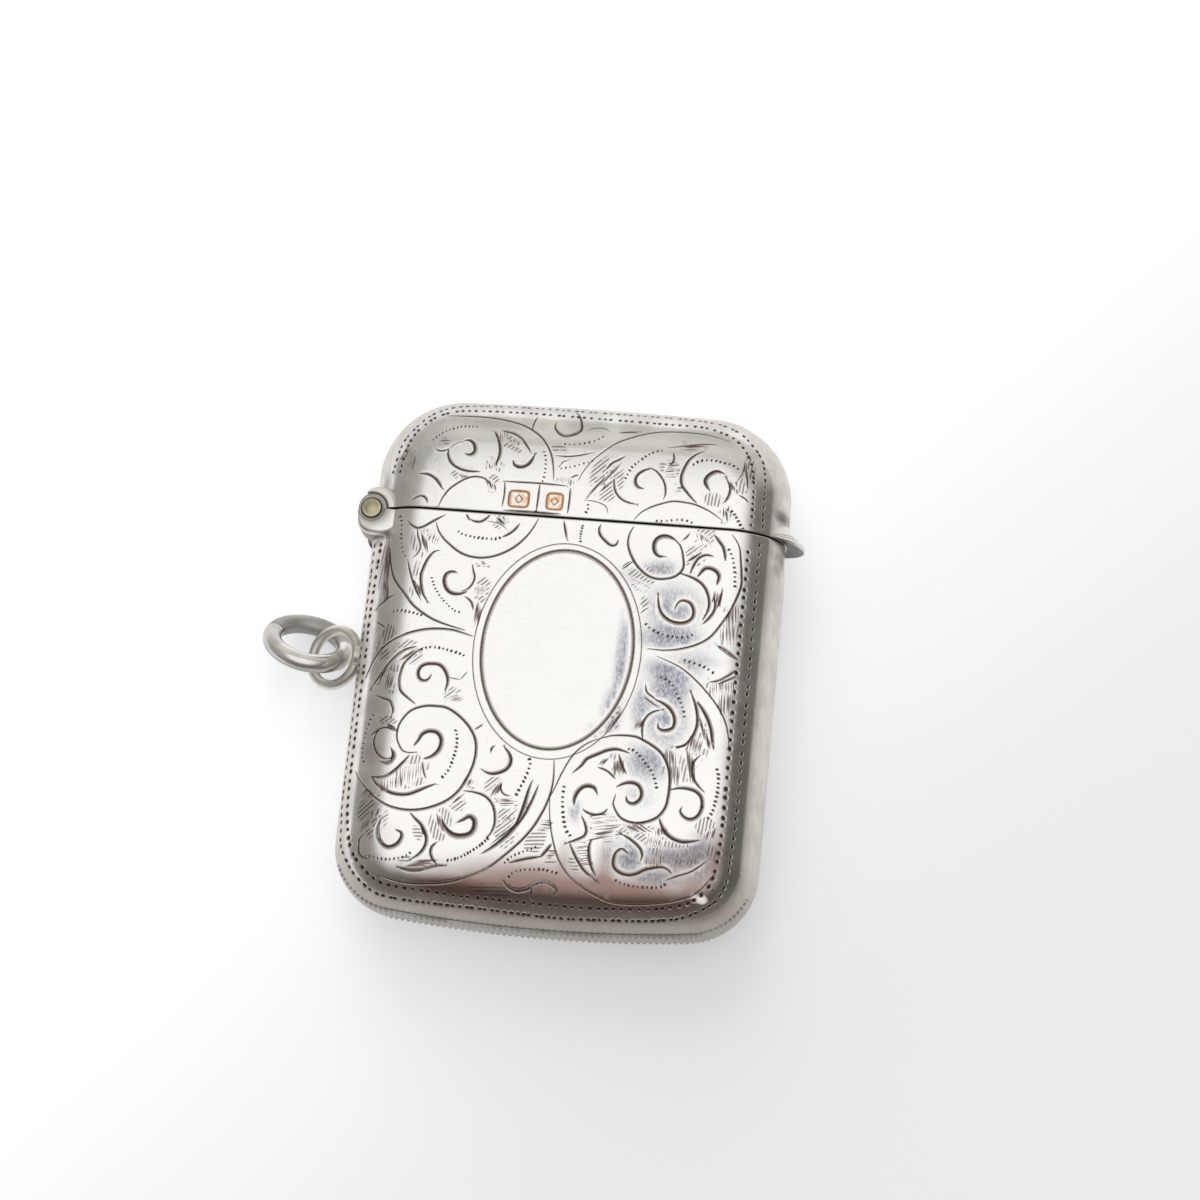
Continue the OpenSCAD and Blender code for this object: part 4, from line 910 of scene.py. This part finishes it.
# Nodes of one shader tree. Each method adds a node and gives its output socket.
class Nodes:
    def __init__(self, tree):
        self.tree = tree

    def add(self, kind, inputs=None, **values):
        node = self.tree.nodes.new(kind)
        for key, value in values.items():
            setattr(node, key, value)
        for key, value in (inputs or {}).items():
            self.feed(node.inputs[key], value)
        return node

    # a socket takes another socket's link, a colour without its alpha, or a plain value
    def feed(self, socket, value):
        if isinstance(value, bpy.types.NodeSocket):
            self.tree.links.new(value, socket)
        else:
            socket.default_value = (*value, 1) if socket.type == "RGBA" else value

    def maths(self, operation, *values):
        return self.add("ShaderNodeMath", dict(enumerate(values)), operation=operation).outputs[0]

    def times(self, a, b):
        return self.maths("MULTIPLY", a, b)

    def plus(self, a, b):
        return self.maths("ADD", a, b)

    def minus(self, a, b):
        return self.maths("SUBTRACT", a, b)

    def most(self, a, b):
        return self.maths("MAXIMUM", a, b)

    # distance of a value from a level
    def off(self, a, level):
        return self.maths("ABSOLUTE", self.minus(a, level))

    def softStep(self, value, low, high, outLow=0.0, outHigh=1.0):
        inputs = {"Value": value, "From Min": low, "From Max": high, "To Min": outLow, "To Max": outHigh}
        return self.add("ShaderNodeMapRange", inputs, interpolation_type="SMOOTHSTEP").outputs["Result"]

    def mix(self, factor, a, b):
        return self.add("ShaderNodeMix", {0: factor, 6: a, 7: b}, data_type="RGBA").outputs[2]

    def mapped(self, coords, turn, stretch=(1, 1, 1)):
        inputs = {"Vector": coords, "Rotation": (0, 0, turn), "Scale": stretch}
        return self.add("ShaderNodeMapping", inputs).outputs["Vector"]

    def noise(self, coords, scale, detail=3.0):
        inputs = {"Vector": coords, "Scale": scale, "Detail": detail}
        return self.add("ShaderNodeTexNoise", inputs).outputs["Fac"]

    def streaks(self, coords, detail, stretch, turn=0.0):
        return self.noise(self.mapped(coords, turn, stretch), 1.0, detail)

    def parts(self, vector):
        return self.add("ShaderNodeSeparateXYZ", {0: vector}).outputs

    def attribute(self, name):
        return self.add("ShaderNodeAttribute", attribute_name=name).outputs["Fac"]


# Node group with a coordinate input, float inputs and float outputs.
def newGroup(name, inputs, outputs):
    group = bpy.data.node_groups.new(name, "ShaderNodeTree")
    group.interface.new_socket("Vector", in_out="INPUT", socket_type="NodeSocketVector")
    for way, keys in (("INPUT", inputs), ("OUTPUT", outputs)):
        for key in keys:
            group.interface.new_socket(key, in_out=way, socket_type="NodeSocketFloat")
    n = Nodes(group)
    return group, n, n.add("NodeGroupInput").outputs, n.add("NodeGroupOutput").inputs


# Handling marks shared by the metals: fine scratches in two directions, smudges and specks.
# Scratches: detail, stretch and turn of the noise, then the levels it shows between.
scratchSets = [(2, (900, 26000, 900), .5, .66, .74), (2, (24000, 800, 800), .25, .68, .76)]
markSizes = {"smudge": (330.0, 4), "speck": (3800.0, 2), "speckLevels": (.69, .76)}
handling, n, given, result = newGroup("handlingMarks", (), ("Scratches", "Smudges", "Specks"))
where = given["Vector"]
scratches = [n.softStep(n.streaks(where, *sizes), low, high) for *sizes, low, high in scratchSets]
n.feed(result["Scratches"], n.plus(*scratches))
n.feed(result["Smudges"], n.noise(where, *markSizes["smudge"]))
n.feed(result["Specks"], n.softStep(n.noise(where, *markSizes["speck"]), *markSizes["speckLevels"]))

# Ground hatching: three sets of fine wavering lines, each where its own strength says, and their ground.
waveSizes = {"Scale": 1080.0, "Distortion": 2.4, "Detail": 2.0, "Detail Scale": .35}
hatchLevels = {"wave": (.42, .66), "broken": (.26, .42), "patch": (.1, .3), "breaks": (5200, 900, 900)}
hatchKeys = [key.title() for key in hatchTurns]
hatching, n, given, result = newGroup("groundHatching", hatchKeys, ("Lines", "Ground"))
lines, ground = 0.0, 0.0
for key, turn in hatchTurns.items():
    along = n.mapped(given["Vector"], turn)
    wave = n.add("ShaderNodeTexWave", dict(waveSizes, Vector=along)).outputs["Fac"]
    broken = n.softStep(n.streaks(along, 2, hatchLevels["breaks"]), *hatchLevels["broken"])
    here = n.softStep(given[key.title()], *hatchLevels["patch"])
    lines = n.most(lines, n.times(n.times(n.softStep(wave, *hatchLevels["wave"]), broken), here))
    ground = n.most(ground, here)
n.feed(result["Lines"], lines)
n.feed(result["Ground"], ground)


# Material with handling marks at hand.
class Metal(Nodes):
    def __init__(self, name):
        self.material = bpy.data.materials.new(name)
        self.material.use_nodes = True
        super().__init__(self.material.node_tree)
        self.coords = self.add("ShaderNodeTexCoord").outputs["Object"]
        marks = self.add("ShaderNodeGroup", {"Vector": self.coords}, node_tree=handling).outputs
        self.scratches, self.smudges, self.specks = marks["Scratches"], marks["Smudges"], marks["Specks"]

    # a light and a dark tone mixed by the smudges
    def tone(self, light, dark, low=.35, high=.65, share=1.0):
        return self.mix(self.times(self.softStep(self.smudges, low, high), share), light, dark)

    # roughness about a middle value, changing with the smudges
    def smudged(self, rough):
        return self.plus(self.times(self.smudges, .2), rough)

    # place along an axis through a point
    def along(self, axis, point):
        dot = self.add("ShaderNodeVectorMath", {0: self.coords, 1: axis}, operation="DOT_PRODUCT")
        return self.minus(dot.outputs["Value"], float(point @ axis))

    def finish(self, colour, rough, smudgeHeight=1.0, strength=.2, distance=.03 * mm):
        height = self.plus(self.times(self.smudges, smudgeHeight), self.scratches)
        bump = self.add("ShaderNodeBump", {"Strength": strength, "Distance": distance, "Height": height})
        shader = self.tree.nodes["Principled BSDF"].inputs
        inputs = {"Base Color": colour, "Metallic": 1.0, "Roughness": rough, "Normal": bump.outputs["Normal"]}
        for key, value in inputs.items():
            self.feed(shader[key], value)
        return self.material


# colours, among them painted reflection in the bloom and the warm brown and painted shade in the base wall and
# the grime, shares of how strongly some of them show, roughness, and detail, stretch and turn of the noises
engravedLook = {
    "silver": (.93, .92, .895), "bloomAndReflection": (.28, .29, .345), "reflectedBrown": (.32, .215, .188),
    "line": (.066, .051, .046), "fadeBrown": (.46, .385, .355), "hatch": (.12, .096, .086),
    "ground": (.5, .455, .42), "copper": (.8, .37, .12), "satin": (.76, .715, .655),
    "satinDark": (.63, .59, .54), "baseWallShade": (.36, .325, .285), "dull": (.5, .49, .455),
    "grimeAndShade": (.16, .15, .14), "speck": (.16, .14, .12),
    "scratchShare": .16, "grainShare": .42, "dullShare": .66, "speckShare": .5, "groundShare": .12,
    "hatchShare": .72, "fleckShare": .7, "copperShare": .75,
    "rough": .12, "smudgeRough": .1, "cutRough": .4, "satinRough": .2,
    "grainNoise": (2, (7600, 3400, 4000), .7), "streakNoise": (4, (2400, 700, 2400)),
}

# levels between which each effect sets in, and where given its strength at both
engravedSteps = {
    "grain": (.36, .6), "dullRim": (4.4, 2.6), "dullSmudge": (.34, .6, .4, 1.0), "satinStreak": (.75, 1.25),
    "base": (-14 * mm, -21.5 * mm, 0, .72), "satin": (1.5, 1.1), "grimeAndShadeSmudge": (.25, .55, .55, 1.0),
    "copperSmudge": (.2, .55, .6, 1.0), "flecks": (.46, .56), "fade": (.02, .42), "line": (.38, .84),
}


# Engraved silver, from the metal up: bloom and painted reflection, dull rim, satin wall with painted shade low
# down, painted warm reflection, grime and painted shade, hatching, copper, lines.
def engravedSilver():
    look, m = engravedLook, Metal("engravedSilver")
    cut, inset = m.attribute("cut"), m.attribute("inset")

    def stepped(key, value):
        return m.softStep(value, *engravedSteps[key])

    # bloom: partly tarnish, partly painted blue-grey reflection
    grain = m.times(stepped("grain", m.streaks(m.coords, *look["grainNoise"])), look["grainShare"])
    bloomAndReflection = m.times(m.attribute("hazeAndReflection"), m.plus(grain, 1 - look["grainShare"]))
    colour = m.mix(bloomAndReflection, look["silver"], look["bloomAndReflection"])
    colour = m.mix(m.times(m.scratches, look["scratchShare"]), colour, look["bloomAndReflection"])
    dulled = m.times(stepped("dullRim", inset), stepped("dullSmudge", m.smudges))
    colour = m.mix(m.times(dulled, look["dullShare"]), colour, look["dull"])
    streaked = m.plus(m.smudges, m.streaks(m.coords, *look["streakNoise"]))
    worn = m.mix(stepped("satinStreak", streaked), look["satin"], look["satinDark"])
    # painted shade: the satin wall darker towards the bottom
    worn = m.mix(stepped("base", m.parts(m.coords)["Y"]), worn, look["baseWallShade"])
    worn = m.mix(m.times(m.specks, look["speckShare"]), worn, look["speck"])
    satin = stepped("satin", inset)
    colour = m.mix(satin, colour, worn)
    # painted warm reflection in brown
    colour = m.mix(m.attribute("warmReflection"), colour, look["reflectedBrown"])
    # grime mixed with painted shade
    soiledAndShaded = m.times(m.attribute("grimeAndShade"), stepped("grimeAndShadeSmudge", m.smudges))
    colour = m.mix(soiledAndShaded, colour, look["grimeAndShade"])
    hatchInputs = {key.title(): m.attribute(key) for key in hatchTurns}
    hatch = m.add("ShaderNodeGroup", dict(hatchInputs, Vector=m.coords), node_tree=hatching).outputs
    colour = m.mix(m.times(hatch["Ground"], look["groundShare"]), colour, look["ground"])
    colour = m.mix(m.times(hatch["Lines"], look["hatchShare"]), colour, look["hatch"])
    copper = m.times(m.attribute("copper"), stepped("copperSmudge", m.smudges))
    flecks = m.times(stepped("flecks", m.noise(m.coords, 2600.0, 2)), look["fleckShare"])
    colour = m.mix(m.times(copper, flecks), colour, look["copper"])
    colour = m.mix(stepped("fade", cut), colour, m.mix(copper, look["fadeBrown"], look["copper"]))
    lineAt = m.times(stepped("line", cut), m.minus(1.0, m.times(copper, look["copperShare"])))
    colour = m.mix(lineAt, colour, look["line"])
    rough = m.plus(m.times(m.smudges, look["smudgeRough"]), look["rough"])
    rough = m.plus(rough, m.plus(m.times(cut, look["cutRough"]), m.times(satin, look["satinRough"])))
    return m.finish(colour, rough, .6, .12, .02 * mm)


# Plain metals: light and dark tone mixed by smudges, least roughness, share of the specks of grime.
metalLooks = {
    "silver": ((.64, .62, .575), (.5, .48, .44), .26, .5),
    "gilt": ((.86, .64, .3), (.72, .5, .22), .16, .25),
    "striker": ((.4, .375, .345), (.24, .225, .205), .28, .6),
    "brass": ((.5, .46, .31), (.36, .325, .205), .22, .45),
    "steel": ((.5, .5, .5), (.36, .35, .35), .24, .5),
    "loop": ((.8, .775, .71), (.62, .59, .54), .26, .5),
}
speckColour = (.1, .09, .08)
# painted shadow in the seam gap: a dark band on the gilt collar along the mouth line
seamShadow = {"y": 11.72, "half": .5, "core": .18, "colour": (.012, .011, .01)}


def plainMetal(name):
    light, dark, rough, grimeAndShade = metalLooks[name]
    m = Metal(name)
    colour = m.mix(m.times(m.specks, grimeAndShade), m.tone(light, dark), speckColour)
    # painted shadow on the collar where the seam gap lies
    if name == "gilt":
        fromSeam = m.off(m.parts(m.coords)["Y"], seamShadow["y"] * mm)
        seamShade = m.softStep(fromSeam, seamShadow["half"] * mm, seamShadow["core"] * mm)
        colour = m.mix(seamShade, colour, seamShadow["colour"])
    return m.finish(colour, m.smudged(rough))


turnedLook = {"light": (.7, .68, .63), "dark": (.52, .5, .46), "paintedHighlight": (.93, .92, .89),
              "ring": (.4, .385, .365), "foot": (.2, .155, .135), "gap": (.03, .028, .026), "rough": .36,
              "paintedHighlightFrom": (1.5 * mm, 2.5 * mm), "ringFrom": (1.32 * mm, 1.12 * mm),
              "footShadeDeep": (3.62 * mm, 3.3 * mm), "footShadeLow": (-1.3 * mm, -1.9 * mm),
              "gapShadeFrom": (.92 * mm, .87 * mm)}


# Turned lug silver: painted highlight to the lower right, a dull ring about the pin, grime with painted shade
# down the lower side wall and a painted shadow in the gap round the pin head.
def turnedSilver():
    look, m = turnedLook, Metal("turnedSilver")
    at = m.parts(m.coords)
    dx, dy = m.minus(at["X"], pin["x"] * mm), m.minus(at["Y"], pin["y"] * mm)
    r = m.maths("SQRT", m.plus(m.times(dx, dx), m.times(dy, dy)))
    colour = m.tone(look["light"], look["dark"], .4, .7)
    # painted highlight to the lower right
    colour = m.mix(m.softStep(m.minus(dx, dy), *look["paintedHighlightFrom"]), colour, look["paintedHighlight"])
    colour = m.mix(m.softStep(r, *look["ringFrom"]), colour, look["ring"])
    # grime with painted shade down the lower side wall
    deep = m.softStep(m.off(at["Z"], caseForm["halfThick"] * mm), *look["footShadeDeep"])
    colour = m.mix(m.times(deep, m.softStep(dy, *look["footShadeLow"])), colour, look["foot"])
    # painted shadow in the gap round the pin head
    colour = m.mix(m.softStep(r, *look["gapShadeFrom"]), colour, look["gap"])
    return m.finish(colour, look["rough"])


lipLook = {"light": (.82, .795, .735), "dark": (.7, .675, .615), "grimeAndShade": (.1, .093, .085),
           "share": .94, "rough": .34}


# Lip silver: pale, darkened in its grooves and by painted shade under the ledge, where its attribute says.
def lipSilver():
    look, m = lipLook, Metal("lipSilver")
    soiledAndShaded = m.times(m.attribute("grimeAndShade"), look["share"])
    colour = m.mix(soiledAndShaded, m.tone(look["light"], look["dark"]), look["grimeAndShade"])
    return m.finish(colour, look["rough"])


ringLook = {"light": (.84, .82, .785), "dark": (.31, .295, .285), "matte": (.36, .34, .32),
            "joint": (.05, .045, .04), "rough": .14, "matteRough": .28, "grimeAndShade": .55, "darkShare": .5,
            "matteShare": .6, "matteFrom": (.4 * mm, .8 * mm), "topFrom": (-.5 * mm, .2 * mm),
            "jointAt": .5 * mm, "jointFrom": (.09 * mm, .03 * mm)}


# Ring silver: painted highlight on the upper side of the wire and painted shade below it, matte on the far
# half of the ring, with the dark line of its butt joint at the outer end.
def ringSilver():
    look, m = ringLook, Metal("ringSilver")
    wire = np.array([v.co[:] for v in nodes["suspension_ring"].data.vertices])
    middle = wire.mean(0)
    flat = np.linalg.svd(wire - middle, full_matrices=False)[2][2]
    across = np.cross(flat, (1, 0, 0))
    across *= np.sign(across[1]) / np.linalg.norm(across)
    flat *= np.sign(flat[2])
    climb = m.along(across, middle)
    outer = m.maths("LESS_THAN", m.parts(m.coords)["X"], float(middle[0]))
    joint = m.times(m.softStep(m.off(climb, look["jointAt"]), *look["jointFrom"]), outer)
    matte = m.softStep(climb, *look["matteFrom"])
    top = m.softStep(m.along(flat, middle), *look["topFrom"])
    # painted highlight on the upper side of the wire, painted shade below
    colour = m.mix(top, look["dark"], m.tone(look["light"], look["dark"], share=look["darkShare"]))
    colour = m.mix(m.times(matte, look["matteShare"]), colour, look["matte"])
    colour = m.mix(m.times(m.specks, look["grimeAndShade"]), colour, speckColour)
    colour = m.mix(joint, colour, look["joint"])
    return m.finish(colour, m.smudged(m.plus(m.times(matte, look["matteRough"]), look["rough"])))


metals = {key: plainMetal(key) for key in metalLooks}
metals["ring_silver"] = ringSilver()
lipMetal = lipSilver()
dressed = [(plates, engravedSilver(), "silver"), (lugs, turnedSilver(), "silver"),
           (pinHeads, metals["brass"], "brass"), ([hoodPiece, lipPiece], lipMetal, "silver")]
for pieces, metal, slotName in dressed:
    for piece in pieces:
        piece.data.materials.append(metal)
nodeMetals = {
    "mouth_collar": "gilt", "striker_band": "striker", "hinge_pin": "brass", "leaf_spring": "steel",
    "spring_rivet": "brass", "suspension_ring": "ring_silver", "ring_loop": "loop", "loop_foot": "loop",
}
for key, node in nodes.items():
    node.data.materials.clear()
    node.data.materials.append(metals[nodeMetals.get(key, "silver")])
print("materials done")


# Stage: pale floor, world like a light tent and a soft lamp overhead
scene = bpy.context.scene
stage = {"floorHalf": 1.5, "floorPale": (.82, .84, .88), "floorColour": (.8, .825, .875), "floorRough": .8,
         "floorShine": .2, "floorNoise": 9.0, "glow": (-.02, .055, .46, .27),
         "lampSize": .6, "lampPower": 1.7, "lampAt": (-.18, .66, .5)}
half = stage["floorHalf"]
floorMesh = bpy.data.meshes.new("floor")
floorPoints = [(-half, -half, 0), (half, -half, 0), (half, half, 0), (-half, half, 0)]
floorMesh.from_pydata(floorPoints, [], [(0, 1, 2, 3)])
floor = bpy.data.objects.new("floor", floorMesh)
scene.collection.objects.link(floor)
floorMaterial = bpy.data.materials.new("paleFloor")
floorMaterial.use_nodes = True
n = Nodes(floorMaterial.node_tree)
coords = n.add("ShaderNodeTexCoord").outputs["Object"]
at, seen = n.parts(coords), n.add("ShaderNodeLightPath").outputs
looked = n.most(seen["Is Camera Ray"], n.most(seen["Is Glossy Ray"], seen["Is Transmission Ray"]))
southEast = n.minus(at["X"], at["Y"])
floorInputs = {
    "Base Color": n.mix(n.noise(coords, stage["floorNoise"]), stage["floorPale"], stage["floorColour"]),
    "Roughness": stage["floorRough"], "Specular IOR Level": stage["floorShine"], "Emission Color": (1, 1, 1),
    # painted glow: the floor shines for camera and glossy rays, brighter to the north-west
    "Emission Strength": n.times(looked, n.softStep(southEast, *stage["glow"])),
}
for key, value in floorInputs.items():
    n.feed(n.tree.nodes["Principled BSDF"].inputs[key], value)
floorMesh.materials.append(floorMaterial)

tentLook = {"west": (.35, .344, .318), "east": (.13, .129, .114), "north": (.7, .687, .645),
            "south": (.2, .18, .168), "top": (1, 1, 1), "strength": 1.05, "lean": .1,
            "eastFrom": (-.75, .3), "northFrom": (.1, .9), "southFrom": (-.2, -.8),
            "topFrom": (.68, .955), "topEnds": (.58, .36)}
world = bpy.data.worlds.new("lightTent")
world.use_nodes = True
scene.world = world
n = Nodes(world.node_tree)
direction = n.parts(n.add("ShaderNodeTexCoord").outputs["Generated"])
eastward, northward, height = direction["X"], direction["Y"], direction["Z"]
sides = n.mix(n.softStep(eastward, *tentLook["eastFrom"]), tentLook["west"], tentLook["east"])
sides = n.mix(n.softStep(northward, *tentLook["northFrom"]), sides, tentLook["north"])
sides = n.mix(n.softStep(northward, *tentLook["southFrom"]), sides, tentLook["south"])
leaning = n.plus(height, n.times(eastward, tentLook["lean"]))
white = n.times(n.softStep(leaning, *tentLook["topFrom"]), n.softStep(northward, *tentLook["topEnds"]))
background = n.tree.nodes["Background"].inputs
n.feed(background["Color"], n.mix(white, sides, tentLook["top"]))
n.feed(background["Strength"], tentLook["strength"])

lampData = bpy.data.lights.new("softbox", "AREA")
lampData.size, lampData.energy = stage["lampSize"], stage["lampPower"]
lamp = bpy.data.objects.new("softbox", lampData)
lamp.location = stage["lampAt"]
lamp.rotation_euler = (-lamp.location).to_track_quat("-Z", "Y").to_euler()
lamp.visible_glossy = False  # the metal mirrors the tent alone
scene.collection.objects.link(lamp)

view = {"at": (29.619, -59.222, 250.220), "focal": 3038.864, "frame": 1200, "sensor": 36.0,
        "right": (.99152086, .09887398, -.08432269), "up": (-.07341295, .96163142, .26433984),
        "back": (.10722368, -.25590809, .96073624)}
cameraData = bpy.data.cameras.new("photoCamera")
cameraData.sensor_width = view["sensor"]
cameraData.lens = view["focal"] / view["frame"] * view["sensor"]
cameraData.clip_start, cameraData.clip_end = .01, 10
camera = bpy.data.objects.new("photoCamera", cameraData)
scene.collection.objects.link(camera)
axes = Matrix((view["right"], view["up"], view["back"])).transposed().to_4x4()
camera.matrix_world = Matrix.Translation(Vector(view["at"]) * mm) @ axes
scene.camera = camera
scene.view_settings.view_transform = "Standard"
print("stage done")
